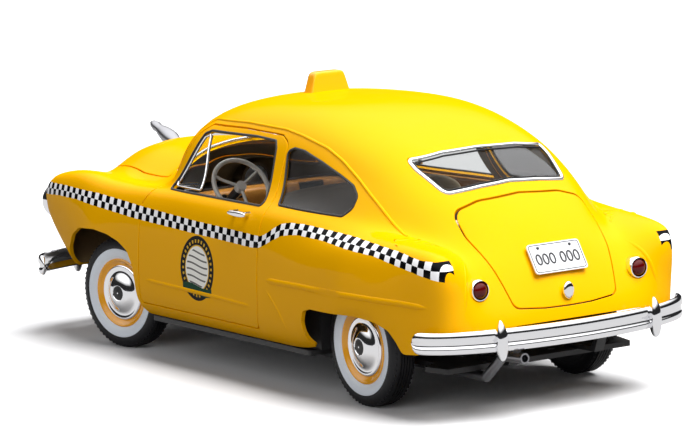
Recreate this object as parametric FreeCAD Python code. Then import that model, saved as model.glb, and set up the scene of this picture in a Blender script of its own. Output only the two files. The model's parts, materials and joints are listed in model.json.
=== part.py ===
"""Diecast collector car: a fastback taxi sedan at one eighteenth scale, as an assembly.

Frame: +Z up, ground at Z = 0, the nose points along -Y and the car's left side is +X.
Shapes are drawn about the middle of the wheelbase and shifted onto the box centre at export.
"""
import FreeCAD
import Part
import math
import os

V = FreeCAD.Vector
os.makedirs("parts", exist_ok=True)

# ---------------------------------------------------------------- overall sizes (mm)
wheelbase = 141.0          # between the axles
front_overhang = 51.5      # front axle to bumper face
rear_overhang = 54.5       # rear axle to bumper face
body_width = 97.4          # widest point of the skin
roof_height = 82.0         # ground to the top of the roof
centre_shift = -1.5        # puts the box centre on Y = 0

# ---------------------------------------------------------------- wheels and axles
tyre_radius = 17.5
tyre_width = 8.0
wheel_outer_x = 39.8       # outer face of a tyre
rim_radius = 10.9
rim_wall = 1.0
hub_cap_radius = 8.7
hub_cap_height = 2.3
stub_radius = 1.2          # wheel bearing shaft
running_gap = 0.05         # radial, on every turning shaft
kingpin_x = 32.5
kingpin_radius = 0.8
steer_rest = 12.5          # the front wheels stand turned to the left
housing_radius = 2.4

# ---------------------------------------------------------------- body
skin = 1.2                 # body wall
panel_gap = 0.35           # shut line round an opening panel
glass = 0.5                # window thickness
glass_inset = 0.35         # glass face below the skin
trim_proud = 0.3           # bright trim above the skin
trim_width = 0.9
plate_z = 12.5             # underside of the base plate
plate_thick = 1.5
stand_pad = 0.5        # flat pad that a display stand lifts the car by
leaf_gap = 0.45            # vent leaf to its frame
card_gap = 0.12            # door card off the door skin
bumper_height = 6.4
bumper_wall = 1.6
lamp_radius = 4.7
tail_lamp_radius = 2.5

# ---------------------------------------------------------------- scaled positions
KX = body_width / 97.4
KZ = roof_height / 82.0
KY = wheelbase / 141.0
KF = front_overhang / 51.5
KR = rear_overhang / 54.5
AXLE = 17.5
FRONT = -wheelbase / 2
REAR = wheelbase / 2


def X(x):
    """Cross-car position."""
    return x * KX


def Y(y):
    """Lengthwise position drawn on the nominal car."""
    if y < -70.5:
        return FRONT + (y + 70.5) * KF
    if y > 70.5:
        return REAR + (y - 70.5) * KR
    return y * KY


def Z(z):
    """Height."""
    return z * KZ


# ---------------------------------------------------------------- the skin
def F(a):
    """Station a degrees round the front axle."""
    return -70.5 - a


def R(a):
    """Station a degrees round the rear axle."""
    return 70.5 + a


# Each row is one lengthwise line: (station, half width, height above the axle line or fan radius).
ROWS = [
 [(F(100), 39, 12), (F(40), 42, 11), (F(0), 43, 8), (-58, 43.2, 2), (-50, 43.2, -3), (50, 43.5, -3),
  (62, 43.8, 1), (R(0), 44, 5), (R(50), 42, 8), (R(100), 40, 10)],
 [(F(100), 41, 13), (F(75), 43.3, 14), (F(58), 44.8, 15), (F(30), 46.6, 14), (F(0), 47.3, 10.5),
  (-58, 47.2, 5), (-50, 47.0, -0.5), (0, 47.2, -0.5), (45, 48.0, -0.5), (62, 48.2, 4), (R(0), 48.4, 8),
  (R(30), 48.0, 11), (R(60), 46.8, 14), (R(80), 45.5, 15), (R(100), 44, 15)],
 [(F(100), 40.5, 15), (F(80), 42, 17), (F(70), 43.2, 20), (F(58), 44.6, 25), (F(30), 46.8, 20), (F(0), 47.7, 15),
  (-50, 47.4, 8), (0, 47.5, 7), (45, 48.7, 8), (R(0), 49.0, 13), (R(30), 48.2, 18), (R(56), 46.6, 25),
  (R(80), 45.0, 24), (R(100), 44, 23)],
 [(F(100), 40, 16.5), (F(80), 41, 19), (F(70), 42, 25), (F(58), 42.8, 38), (F(45), 44.6, 33), (F(30), 46.0, 27),
  (F(0), 47.0, 22.5), (-50, 46.8, 18), (0, 46.9, 17.5), (45, 48.0, 18), (R(0), 48.4, 22), (R(30), 46.8, 27),
  (R(45), 45.6, 32), (R(56), 44.2, 37), (R(80), 43.2, 33), (R(100), 42.5, 32)],
 [(F(100), 39, 18), (F(80), 40, 21.5), (F(70), 40.6, 29.5), (F(62), 41.0, 44), (F(56), 41.8, 47.5),
  (F(45), 43.3, 42.5), (F(30), 44.6, 36), (F(0), 45.6, 31), (-50, 45.9, 28), (0, 46.0, 26.5), (45, 47.0, 27),
  (R(0), 47, 30), (R(30), 45.3, 34), (R(45), 43.8, 41), (R(56), 42.6, 46.5), (R(66), 42, 43.5),
  (R(80), 41.6, 39), (R(100), 41, 38)],
 [(F(100), 37, 19.5), (F(82), 38, 23), (F(75), 38.5, 27), (F(70), 38.5, 33.5), (F(66), 38.5, 44),
  (F(62), 38.6, 52.0), (F(57), 39, 55.0), (F(50), 39.7, 53.0), (F(37), 41, 46.2), (F(18), 42.3, 40.0),
  (F(0), 43, 37.2), (-55, 43.2, 36.4), (-40, 43.7, 35.6), (-20, 44.3, 34.5), (0, 44.7, 33.6), (20, 45, 33.5),
  (40, 45.3, 34.2), (56, 44.3, 33.8), (R(0), 43, 33.0), (R(10), 42.5, 33.6), (R(22), 42, 35.3),
  (R(35), 41.4, 39.7), (R(46), 40.8, 45.6), (R(52), 40.4, 50.0), (R(56), 40, 52.2), (R(61), 39.6, 51.1),
  (R(68), 39.4, 47.3), (R(77), 39.2, 44.5), (R(86), 39, 43), (R(100), 39, 42)],
 [(F(100), 31, 21), (F(82), 31.5, 25), (F(75), 31.5, 29.5), (F(70), 31.5, 36), (F(66), 31.5, 44),
  (F(62), 32, 49.6), (F(57), 32.5, 52.2), (F(50), 33.2, 51.0), (F(37), 34.3, 45.3), (F(18), 35.8, 39.2),
  (F(0), 36.8, 36.3), (-55, 37.6, 36.0), (-40, 40.0, 36.6), (-20, 42.2, 36.5), (0, 42.6, 36.3),
  (20, 42.9, 36.3), (40, 43.0, 36.7), (56, 41.9, 36.0), (R(0), 40.3, 34.8), (R(10), 39.3, 34.8),
  (R(22), 38.0, 36), (R(35), 36.6, 39.7), (R(46), 35.4, 45.2), (R(52), 34.8, 49.0), (R(56), 34.4, 50.7),
  (R(61), 34, 49.8), (R(68), 33.6, 47.4), (R(77), 33.2, 46.0), (R(86), 33, 45), (R(100), 33, 44)],
 [(F(100), 22, 25), (F(90), 22, 26.5), (F(81), 22, 30), (F(71), 22, 36.8), (F(63), 22.5, 43.2), (F(56), 23, 46.6),
  (F(49), 24, 46.4), (F(41), 25.5, 44.2), (F(30), 27, 40.0), (F(15), 28.5, 36.0), (F(0), 30, 33.7),
  (-55, 31.5, 34.2), (-46, 34, 35.5), (-38, 38.3, 36.7), (-28, 40.3, 37.6), (-10, 40.6, 37.9),
  (30, 40.9, 38.2), (50, 40.3, 38.3), (60, 39.4, 37.8), (R(0), 37.8, 36.8), (R(10), 36.3, 36.2),
  (R(22), 34, 36.2), (R(35), 31.3, 38.4), (R(46), 29.3, 42.0), (R(56), 28, 45.2), (R(68), 27, 46.0),
  (R(80), 26.5, 46.5), (R(100), 26, 46)],
 [(F(100), 16, 27.5), (F(90), 16, 28.5), (F(81), 16, 31.5), (F(71), 16, 38.2), (F(63), 16, 44.8),
  (F(56), 16.5, 48.6), (F(49), 17.2, 49.4), (F(41), 18.7, 47.9), (F(30), 20.5, 44.4), (F(15), 22.5, 40.6),
  (F(0), 24, 38.6), (-54, 25.2, 38.6), (-46, 28.5, 39.3), (-38, 35.0, 39.4), (-30, 37.6, 41.3),
  (-15, 37.7, 42.5), (30, 38.1, 42.9), (50, 37.3, 43.1), (60, 36.5, 42.8), (R(0), 34.8, 42.2),
  (R(12), 32.5, 41.2), (R(23), 30, 41.0), (R(32), 27.8, 41.4), (R(45), 25, 43.4), (R(56), 22.5, 45.9),
  (R(68), 21, 46.8), (R(80), 20.5, 47.8), (R(100), 20, 47)],
 [(F(100), 12.5, 28.3), (F(90), 12.5, 29.3), (F(81), 12.5, 32.4), (F(71), 12.5, 39.4), (F(63), 12.5, 46.2),
  (F(56), 12.8, 50.2), (F(49), 13.2, 51.1), (F(41), 14.5, 49.9), (F(30), 16.5, 46.8), (F(15), 18.5, 43.2),
  (F(0), 20, 41.4), (-54, 21, 41.5), (-46, 24.5, 42.3), (-38, 32.0, 44.0), (-30, 35.2, 48.5),
  (-20, 35.1, 50.4), (30, 35.3, 50.8), (48, 34.8, 49.8), (60, 33.5, 48.2), (R(0), 31.8, 46.6),
  (R(12), 29.8, 44.8), (R(23), 27.3, 43.8), (R(32), 25, 43.6), (R(45), 21.8, 44.8), (R(56), 18.5, 46.6),
  (R(68), 17, 47.4), (R(80), 16.5, 48.3), (R(100), 16, 47.5)],
 [(F(100), 9, 28.6), (F(90), 9, 29.6), (F(81), 9, 32.8), (F(71), 9, 39.8), (F(63), 9, 46.6), (F(56), 9, 50.9),
  (F(49), 9.5, 52.3), (F(41), 10.5, 51.5), (F(30), 12, 48.5), (F(15), 14, 45.2), (F(0), 15.5, 43.4),
  (-54, 16.5, 43.6), (-46, 19.5, 45.0), (-38, 27.0, 49.8), (-30, 31.0, 54.6), (-20, 31.6, 56.6),
  (0, 32.0, 58.0), (30, 32.2, 58.2), (45, 31.7, 57.0), (60, 30.0, 54.2), (R(0), 28.3, 51.4),
  (R(12), 26.0, 48.0), (R(23), 23.3, 46.4), (R(32), 21, 46.2), (R(45), 17.5, 46.6), (R(56), 14.5, 47.5),
  (R(68), 13, 48.0), (R(80), 12.5, 48.6), (R(100), 12, 48)],
 [(F(100), 5, 29), (F(90), 5, 30), (F(81), 5, 33.2), (F(71), 5, 40.2), (F(63), 5, 47.0), (F(56), 5, 51.3),
  (F(49), 5, 53.0), (F(41), 5.5, 52.5), (F(30), 7, 49.3), (F(15), 8, 46.2), (F(0), 9, 44.4), (-54, 10, 44.7),
  (-46, 12.5, 47.5), (-38, 18.5, 53.6), (-30, 22.5, 58.6), (-20, 24, 61.2), (0, 25, 63.2), (25, 25, 63.6),
  (40, 24.3, 62.6), (55, 23, 59.6), (R(0), 21, 55.4), (R(12), 18.5, 51.4), (R(23), 15.8, 48.6),
  (R(32), 14, 48.0), (R(45), 11.3, 47.9), (R(56), 9, 48.2), (R(68), 8, 48.4), (R(80), 7.5, 49),
  (R(100), 7, 48.5)],
 [(F(100), 2.5, 29), (F(90), 2.5, 30), (F(81), 2.5, 33.5), (F(71), 2.5, 40.6), (F(63), 2.5, 47.4),
  (F(56), 2.5, 51.7), (F(49), 2.5, 53.4), (F(41), 3, 52.9), (F(30), 3.5, 49.8), (F(15), 4, 46.6),
  (F(0), 4.5, 44.7), (-54, 5, 45.1), (-46, 6, 48.4), (-38, 9, 54.9), (-30, 11.5, 60.4), (-20, 12.5, 63.1),
  (0, 13, 65.0), (25, 13, 65.2), (40, 12.5, 64.2), (55, 12, 61.3), (R(0), 10.5, 56.0), (R(12), 9, 52.0),
  (R(23), 8, 49.5), (R(32), 7, 48.9), (R(45), 5.5, 48.6), (R(56), 4.5, 48.6), (R(68), 4, 48.7),
  (R(80), 4, 49.2), (R(100), 3.5, 49)],
 [(F(100), 0, 29), (F(90), 0, 30), (F(81), 0, 33.5), (F(71), 0, 40.7), (F(63), 0, 47.5), (F(56), 0, 51.9),
  (F(49), 0, 53.6), (F(41), 0, 53.0), (F(30), 0, 49.9), (F(15), 0, 46.7), (F(0), 0, 44.8), (-54, 0, 45.2),
  (-46, 0, 48.7), (-38, 0, 55.3), (-30, 0, 60.9), (-20, 0, 63.6), (0, 0, 65.4), (25, 0, 65.6), (40, 0, 64.6),
  (55, 0, 61.7), (R(0), 0, 56.2), (R(12), 0, 52.2), (R(23), 0, 49.7), (R(32), 0, 49.1), (R(45), 0, 48.8),
  (R(56), 0, 48.7), (R(68), 0, 48.8), (R(80), 0, 49.3), (R(100), 0, 49)],
]
STATIONS = [F(a) for a in (100, 92, 84, 77, 71, 66, 62, 58, 53, 47, 40, 32, 22, 11, 0)]
STATIONS += [-62, -54, -48, -43, -38, -33, -28, -20, -8, 6, 20, 34, 48, 60]
STATIONS += [R(a) for a in (0, 10, 20, 29, 38, 45, 50, 54, 58, 63, 69, 76, 84, 92, 100)]


def through(keys, s):
    """Monotone cubic through (station, value) keys."""
    xs = [k[0] for k in keys]
    ys = [k[1] for k in keys]
    if s <= xs[0]:
        return ys[0]
    if s >= xs[-1]:
        return ys[-1]
    n = len(xs)
    d = [(ys[i + 1] - ys[i]) / (xs[i + 1] - xs[i]) for i in range(n - 1)]

    def slope(i):
        if i == 0:
            return d[0]
        if i == n - 1 or d[i - 1] * d[i] <= 0:
            return 0.0
        h0 = xs[i] - xs[i - 1]
        h1 = xs[i + 1] - xs[i]
        w1 = 2 * h1 + h0
        w2 = h1 + 2 * h0
        return (w1 + w2) / (w1 / d[i - 1] + w2 / d[i])

    i = max(j for j in range(n - 1) if xs[j] <= s)
    h = xs[i + 1] - xs[i]
    t = (s - xs[i]) / h
    a = slope(i) * h
    b = slope(i + 1) * h
    return ((2 * t**3 - 3 * t**2 + 1) * ys[i] + (t**3 - 2 * t**2 + t) * a
            + (-2 * t**3 + 3 * t**2) * ys[i + 1] + (t**3 - t**2) * b)


def place(s, x, h):
    """A pole of the net from its station, half width and height or fan radius."""
    if s < -70.5:
        a = math.radians(-70.5 - s)
        return V(X(x), Y(-70.5 - h * math.sin(a)), Z(AXLE + h * math.cos(a)))
    if s > 70.5:
        a = math.radians(s - 70.5)
        return V(X(x), Y(70.5 + h * math.sin(a)), Z(AXLE + h * math.cos(a)))
    return V(X(x), Y(s), Z(AXLE + h))


def skin_net():
    """Poles by station, from the left sill over the roof to the right sill."""
    net = []
    for s in STATIONS:
        half = []
        for row in ROWS:
            x = through([(k[0], k[1]) for k in row], s)
            h = through([(k[0], k[2]) for k in row], s)
            half.append(place(s, x, h))
        net.append(half + [V(-p.x, p.y, p.z) for p in half[-2::-1]])
    return net


def spline_surface(net):
    """Clamped uniform bicubic surface on a net."""
    nu = len(net)
    nv = len(net[0])

    def knots(n):
        inner = n - 4
        return [i / (inner + 1.0) for i in range(inner + 2)], [4] + [1] * inner + [4]

    ku, mu = knots(nu)
    kv, mv = knots(nv)
    s = Part.BSplineSurface()
    s.buildFromPolesMultsKnots(net, mu, mv, ku, kv, False, False, 3, 3)
    return s


NET = skin_net()
SKIN = spline_surface(NET)


def greville(n):
    """Parameters where the poles of a clamped uniform cubic act."""
    inner = n - 4
    t = [0.0] * 4 + [i / (inner + 1.0) for i in range(1, inner + 1)] + [1.0] * 4
    return [(t[i + 1] + t[i + 2] + t[i + 3]) / 3 for i in range(n)]


GU = greville(len(NET))
GV = greville(len(NET[0]))


def skin_normal(u, v):
    """Outward unit normal of the skin."""
    a, b = SKIN.getDN(u, v, 1, 0), SKIN.getDN(u, v, 0, 1)
    n = a.cross(b)
    if n.Length < 1e-9:
        return V(0, 0, 1)
    return n.normalize()


SIGN = 1.0 if skin_normal(0.5, 0.5).z > 0 else -1.0
NORMALS = [[skin_normal(min(max(u, 1e-4), 1 - 1e-4), min(max(v, 1e-4), 1 - 1e-4)) * SIGN for v in GV] for u in GU]


def offset_face(d):
    """The skin moved d outward."""
    net = [[p + n * d for p, n in zip(ps, ns)] for ps, ns in zip(NET, NORMALS)]
    return spline_surface(net)


def slab(d_out, d_in):
    """Closed solid between two offsets of the skin."""
    a = offset_face(d_out)
    b = offset_face(d_in)
    faces = [a.toShape(), b.toShape()]
    for iso in ("u", "v"):
        for t in (0.0, 1.0):
            ca = a.uIso(t) if iso == "u" else a.vIso(t)
            cb = b.uIso(t) if iso == "u" else b.vIso(t)
            faces.append(Part.makeRuledSurface(ca.toShape(), cb.toShape()))
    shell = Part.Shell(faces)
    shell.sewShape()
    solid = Part.Solid(Part.Shell(shell.Faces))
    if solid.Volume < 0:
        solid.reverse()
    return solid


# ---------------------------------------------------------------- plain helpers
def box(x0, x1, y0, y1, z0, z1):
    return Part.makeBox(x1 - x0, y1 - y0, z1 - z0, V(x0, y0, z0))


def rod(p, q, r):
    """Cylinder from p to q."""
    d = q - p
    return Part.makeCylinder(r, d.Length, p, d)


def mirrored(shape):
    return shape.mirror(V(0, 0, 0), V(1, 0, 0))


def both(shape):
    """The piece and its twin on the other side."""
    return Part.makeCompound([shape, mirrored(shape)])


def rounded(points, radius, to3d):
    """Closed wire through corner points with rounded corners; to3d maps (a, b) to space."""
    n = len(points)
    edges = []
    last = None
    first = None
    for i in range(n):
        p0 = V(*points[i - 1], 0)
        p1 = V(*points[i], 0)
        p2 = V(*points[(i + 1) % n], 0)
        r = points_radius(radius, i)
        a = (p0 - p1)
        b = (p2 - p1)
        half = a.getAngle(b) / 2
        cut = r / math.tan(half)
        cut = min(cut, 0.45 * a.Length, 0.45 * b.Length)
        if r <= 0 or half > 1.55:
            t1 = t2 = p1
            mid = None
        else:
            a.normalize()
            b.normalize()
            t1 = p1 + a * cut
            t2 = p1 + b * cut
            rr = cut * math.tan(half)
            c = p1 + (a + b).normalize() * (rr / math.sin(half))
            mid = c + (p1 - c).normalize() * rr
        if last is not None and (t1 - last).Length > 1e-6:
            edges.append(Part.LineSegment(to3d(last), to3d(t1)).toShape())
        if mid is not None:
            edges.append(Part.Arc(to3d(t1), to3d(mid), to3d(t2)).toShape())
        if first is None:
            first = t1
        last = t2
    if (first - last).Length > 1e-6:
        edges.append(Part.LineSegment(to3d(last), to3d(first)).toShape())
    return Part.Wire(edges)


def points_radius(radius, i):
    return radius[i] if isinstance(radius, (list, tuple)) else radius


def side_prism(points, x0, x1, radius=0.0):
    """Outline in (y, z) pulled along X."""
    w = rounded(points, radius, lambda p: V(x0, p.x, p.y))
    return Part.Face(w).extrude(V(x1 - x0, 0, 0))


def end_prism(points, y0, y1, radius=0.0):
    """Outline in (x, z) pulled along Y."""
    w = rounded(points, radius, lambda p: V(p.x, y0, p.y))
    return Part.Face(w).extrude(V(0, y1 - y0, 0))


def top_prism(points, z0, z1, radius=0.0):
    """Outline in (x, y) pulled along Z."""
    w = rounded(points, radius, lambda p: V(p.x, p.y, z0))
    return Part.Face(w).extrude(V(0, 0, z1 - z0))


def inset(points, d):
    """A closed outline moved d inward (d < 0 moves it outward), corner by corner."""
    n = len(points)
    area = sum(points[i - 1][0] * points[i][1] - points[i][0] * points[i - 1][1] for i in range(n))
    turn = 1.0 if area > 0 else -1.0
    out = []
    for i in range(n):
        p0, p1, p2 = points[i - 1], points[i], points[(i + 1) % n]
        ax, ay = p1[0] - p0[0], p1[1] - p0[1]
        bx, by = p2[0] - p1[0], p2[1] - p1[1]
        la, lb = math.hypot(ax, ay), math.hypot(bx, by)
        nax, nay = -ay / la * turn, ax / la * turn
        nbx, nby = -by / lb * turn, bx / lb * turn
        k = d / max(0.35, 1 + nax * nbx + nay * nby)
        out.append((p1[0] + (nax + nbx) * k, p1[1] + (nay + nby) * k))
    return out


def yz(points):
    return [(Y(y), Z(z)) for y, z in points]


def xz(half):
    """Symmetric outline from its right-hand half."""
    pts = [(X(x), Z(z)) for x, z in half]
    return pts + [(-x, z) for x, z in pts[::-1] if x > 1e-6]


def biggest(shape):
    """The largest solid of a cut."""
    return max(shape.Solids, key=lambda s: s.Volume)


def keep(shape, least=0.4):
    """Drop slivers left by a cut."""
    good = [s for s in shape.Solids if s.Volume > least]
    return good[0] if len(good) == 1 else Part.makeCompound(good)


nodes = {}


def add(name, shape):
    """Store one named node, shifted onto the row frame."""
    shape = shape.copy()
    shape.translate(V(0, centre_shift, 0))
    nodes[name] = shape


# ---------------------------------------------------------------- outlines on the nominal car
DOOR = yz([(-42.5, 15.0), (-42.6, 49.0), (-38.4, 54.5), (-26.3, 71.0), (-20.5, 73.9), (0.0, 74.4), (22.0, 74.0),
           (26.6, 72.0), (28.3, 54.5), (27.8, 42.0), (28.2, 27.0), (27.0, 15.0)])
DOOR_R = [0.8, 1.0, 3.0, 4.0, 4.0, 0, 3.0, 3.0, 0, 0, 0, 1.5]
DOOR_WINDOW = yz([(-31.2, 54.4), (-22.2, 71.0), (-18.8, 72.1), (8.5, 72.5), (19.5, 72.1), (21.0, 70.0), (24.4, 54.3)])
DOOR_WINDOW_R = [0.8, 1.2, 1.5, 0, 1.0, 0.8, 1.2]
VENT = yz([(-31.2, 54.4), (-22.2, 71.0), (-18.8, 72.1), (-17.5, 72.1), (-12.2, 54.4)])
QUARTER = yz([(32.0, 54.9), (27.2, 70.0), (30.5, 71.2), (36.0, 70.8), (46.0, 68.3), (55.5, 65.4), (62.5, 62.9),
              (66.0, 60.0), (66.0, 56.5), (63.5, 54.2), (55.0, 54.4)])
QUARTER_R = [1.2, 1.5, 1.5, 6, 10, 10, 5, 2.5, 2.5, 1.5, 0]
REAR_WINDOW = xz([(0, 71.8), (13.0, 71.4), (21.6, 69.6), (22.3, 66.5), (20.6, 61.0), (10.0, 62.2), (0, 62.8)])
REAR_WINDOW_R = [0, 8, 2.2, 3, 1.8, 8, 0, 8, 1.8, 3, 2.2, 8]
WINDSCREEN = xz([(0, 77.0), (14, 76.4), (24.0, 74.2), (29.2, 69.5), (34.2, 58.4), (32.9, 57.6), (27.0, 59.6),
                 (17.0, 63.2), (8.0, 64.4), (0, 64.8)])
WINDSCREEN_R = [0, 6, 4, 4, 1.0, 1.0, 6, 6, 6, 0, 6, 6, 6, 1.0, 1.0, 4, 4, 6]
TRUNK = xz([(0, 60.0), (14.0, 59.0), (22.3, 56.6), (22.6, 50.0), (20.0, 41.0), (17.6, 31.0), (8.0, 30.2), (0, 30.1)])
TRUNK_R = [0, 10, 4, 6, 0, 2.5, 0, 0, 0, 2.5, 0, 6, 4, 10]
HOOD = [(X(x), Y(y)) for x, y in [(0, -113.2), (9.5, -112.0), (17.5, -107.0), (22.5, -95.0), (26.5, -72.0),
                                  (28.0, -53.2), (0, -53.2)]]
HOOD = HOOD[:-1] + [(-x, y) for x, y in HOOD[-2:0:-1]]
HOOD_R = [0, 5, 5, 8, 0, 2, 2, 0, 8, 5, 5]
GRILLE = xz([(0, 44.0), (16.0, 43.2), (22.0, 39.5), (23.0, 34.5), (19.0, 29.5), (0, 28.6)])
GRILLE_R = [0, 4, 4, 4, 4, 0, 4, 4, 4, 4]
ARCH_K = tyre_radius / 17.5


def arch(points, y0):
    """Arch outline grown with the tyre about its axle."""
    return [(Y(y0) + (y - y0) * ARCH_K * (KF if y < -70.5 else 1), Z(AXLE) + (z - AXLE) * ARCH_K * KZ)
            for y, z in points]


FRONT_ARCH = arch([(-112, 21.0), (-95.0, 23.5), (-91.0, 30.5), (-86.3, 35.2), (-80.5, 38.0), (-70.3, 38.6),
                   (-62.5, 37.8), (-55.5, 36.2), (-50.0, 33.8), (-46.9, 29.8), (-45.4, 25.0), (-44.6, 19.0),
                   (-43.0, 14.5), (-43.0, 2.0), (-112, 2.0)], -70.5)
FRONT_ARCH_R = [0, 2, 6, 6, 6, 10, 10, 8, 5, 5, 5, 6, 0, 0, 0]
REAR_ARCH = arch([(52.8, 2.0), (52.8, 23.8), (54.0, 27.0), (57.7, 28.0), (78.3, 28.0), (88.0, 27.4), (93.4, 25.6),
                  (96.0, 22.5), (98.0, 19.2), (104.5, 19.6), (112.0, 24.6), (117.0, 26.2), (135.0, 26.2),
                  (135.0, 2.0)], 70.5)
REAR_ARCH_R = [0, 1.5, 1.5, 2, 0, 8, 4, 4, 2, 4, 4, 3, 0, 0]


# ---------------------------------------------------------------- body panels
def window_glass(outline, radius, prism, lo, hi):
    """One pane filling an outline inside its bright trim."""
    pane = slab(-glass_inset, -glass_inset - glass)
    return keep(pane.common(prism(inset(outline, trim_width * 0.5), lo, hi, radius)))


def trim_ring(outline, radius, prism, lo, hi):
    """Bright frame lining an opening, notched for the pane."""
    band = slab(trim_proud, -skin)
    ring = band.common(prism(outline, lo, hi, radius).cut(prism(inset(outline, trim_width), lo, hi, radius)))
    return keep(ring)


def build_body():
    """Shell and opening panels from one skin."""
    base = slab(0, -skin)
    far = 70.0
    half = 0.5 * panel_gap
    door_l = side_prism(inset(DOOR, -half), X(18), far, DOOR_R)
    door_cut = both(door_l)
    hood_cut = top_prism(inset(HOOD, -half), Z(46.5), far * 1.4, HOOD_R)
    trunk_cut = end_prism(inset(TRUNK, -half), Y(84), Y(135), TRUNK_R)
    shell = base.cut(side_prism(FRONT_ARCH, -far, far, FRONT_ARCH_R))
    shell = shell.cut(side_prism(REAR_ARCH, -far, far, REAR_ARCH_R))
    for cutter in (door_l, mirrored(door_l), hood_cut, trunk_cut):
        shell = shell.cut(cutter)
    windows = [side_prism(QUARTER, X(20), far, QUARTER_R), mirrored(side_prism(QUARTER, X(20), far, QUARTER_R)),
               end_prism(REAR_WINDOW, Y(60), Y(120), REAR_WINDOW_R),
               end_prism(WINDSCREEN, Y(-70), Y(-10), WINDSCREEN_R),
               end_prism(GRILLE, Y(-130), Y(-95), GRILLE_R)]
    for cutter in windows:
        shell = shell.cut(cutter)
    for x, z, y0, y1, r in lamp_holes():
        for s in (1, -1):
            shell = shell.cut(rod(V(s * x, y0, z), V(s * x, y1, z), r))
    add("body_shell", biggest(shell))
    door = base.common(side_prism(inset(DOOR, half), X(18), far, DOOR_R))
    door = door.cut(side_prism(DOOR_WINDOW, X(18), far, DOOR_WINDOW_R))
    door = biggest(door)
    add("door_left", door)
    add("door_right", mirrored(door))
    add("hood_panel", biggest(base.common(top_prism(inset(HOOD, half), Z(46.5) + panel_gap, far * 1.4, HOOD_R))))
    add("trunk_lid", biggest(base.common(end_prism(inset(TRUNK, half), Y(84), Y(135), TRUNK_R))))


HEAD = (X(35.2), Z(42.6))
PARK = (X(33.5), Z(32.0))
TAIL = (X(27.5), Z(37.0))


def lamp_holes():
    """(x, z, y from, y to, radius) of each lamp socket in the shell."""
    return [(HEAD[0], HEAD[1], Y(-125), Y(-104), lamp_radius + 1.0),
            (TAIL[0], TAIL[1], Y(105), Y(125), tail_lamp_radius + 0.7)]


def build_glazing():
    """Window panes and bright trim."""
    far = 70.0
    rear = trim_ring(REAR_WINDOW, REAR_WINDOW_R, end_prism, Y(60), Y(120))
    front = trim_ring(WINDSCREEN, WINDSCREEN_R, end_prism, Y(-70), Y(-10))
    post = slab(trim_proud, -skin).common(box(-1.4, 1.4, Y(-60), Y(-15), Z(62), Z(78.5)))
    inner = end_prism(inset(WINDSCREEN, trim_width), Y(-70), Y(-10), WINDSCREEN_R)
    post = post.common(inner)
    add("window_trims", Part.makeCompound([rear, biggest(front.fuse(post))]))
    pane = slab(-glass_inset, -glass_inset - glass)
    whole = pane.common(end_prism(inset(WINDSCREEN, trim_width), Y(-70), Y(-10), WINDSCREEN_R))
    add("windscreen_glass", keep(whole.cut(box(-1.4, 1.4, Y(-80), Y(0), Z(40), Z(100)))))
    add("rear_window_glass", keep(pane.common(end_prism(inset(REAR_WINDOW, trim_width), Y(60), Y(120),
                                                        REAR_WINDOW_R))))
    quarter = keep(pane.common(side_prism(QUARTER, X(20), far, QUARTER_R)))
    add("quarter_glass", both(quarter))
    frame = slab(-0.1, -skin + 0.1)
    leaf = inset(VENT, leaf_gap)
    outer = side_prism(leaf, X(20), far, [0.9, 1.2, 0.8, 0.4, 0.4])
    inner = side_prism(inset(leaf, trim_width), X(20), far)
    ring = keep(frame.common(outer.cut(inner)))
    leaf_glass = keep(pane.common(inner))
    for side, shape, clear in (("left", ring, leaf_glass), ("right", mirrored(ring), mirrored(leaf_glass))):
        add("vent_frame_" + side, shape)
        add("vent_glass_" + side, clear)


# ---------------------------------------------------------------- lamps, grille and bumpers
def build_lamps():
    x, z = HEAD
    y0 = Y(-114.9)
    ring = rod(V(x, y0, z), V(x, Y(-105.5), z), lamp_radius + 1.0)
    ring = ring.cut(rod(V(x, y0 - 1, z), V(x, y0 + 4.0, z), lamp_radius))
    add("headlamp_bezels", both(ring))
    ball = Part.makeSphere(14.0, V(x, y0 + 13.6, z))
    lens = rod(V(x, y0 - 3, z), V(x, y0 + 4.0, z), lamp_radius).common(ball)
    add("headlamp_lenses", both(lens))
    x, z = TAIL
    r = tail_lamp_radius
    y1 = Y(114.6)
    cup = rod(V(x, Y(110), z), V(x, y1 - 0.4, z), r + 0.7).cut(rod(V(x, y1 - 2.5, z), V(x, y1 + 2, z), r))
    add("tail_lamp_bezels", both(cup))
    ball = Part.makeSphere(6.0, V(x, y1 - 5.4, z))
    add("tail_lamp_lenses", both(rod(V(x, y1 - 2.5, z), V(x, y1 + 2, z), r).common(ball)))


def build_grille():
    """A bright surround with level bars."""
    band = slab(0.2, -skin)
    hole = end_prism(GRILLE, Y(-130), Y(-95), GRILLE_R)
    core = end_prism(inset(GRILLE, 1.4), Y(-130), Y(-95), GRILLE_R)
    grille = band.common(hole.cut(core))
    count = 5
    for i in range(count):
        z = Z(28.6) + (i + 1) * Z(15.4) / (count + 1)
        bar = slab(-0.1, -skin).common(box(-X(25), X(25), Y(-130), Y(-95), z - 0.6, z + 0.6).common(hole))
        grille = grille.fuse(bar)
    add("grille", biggest(grille))


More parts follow.
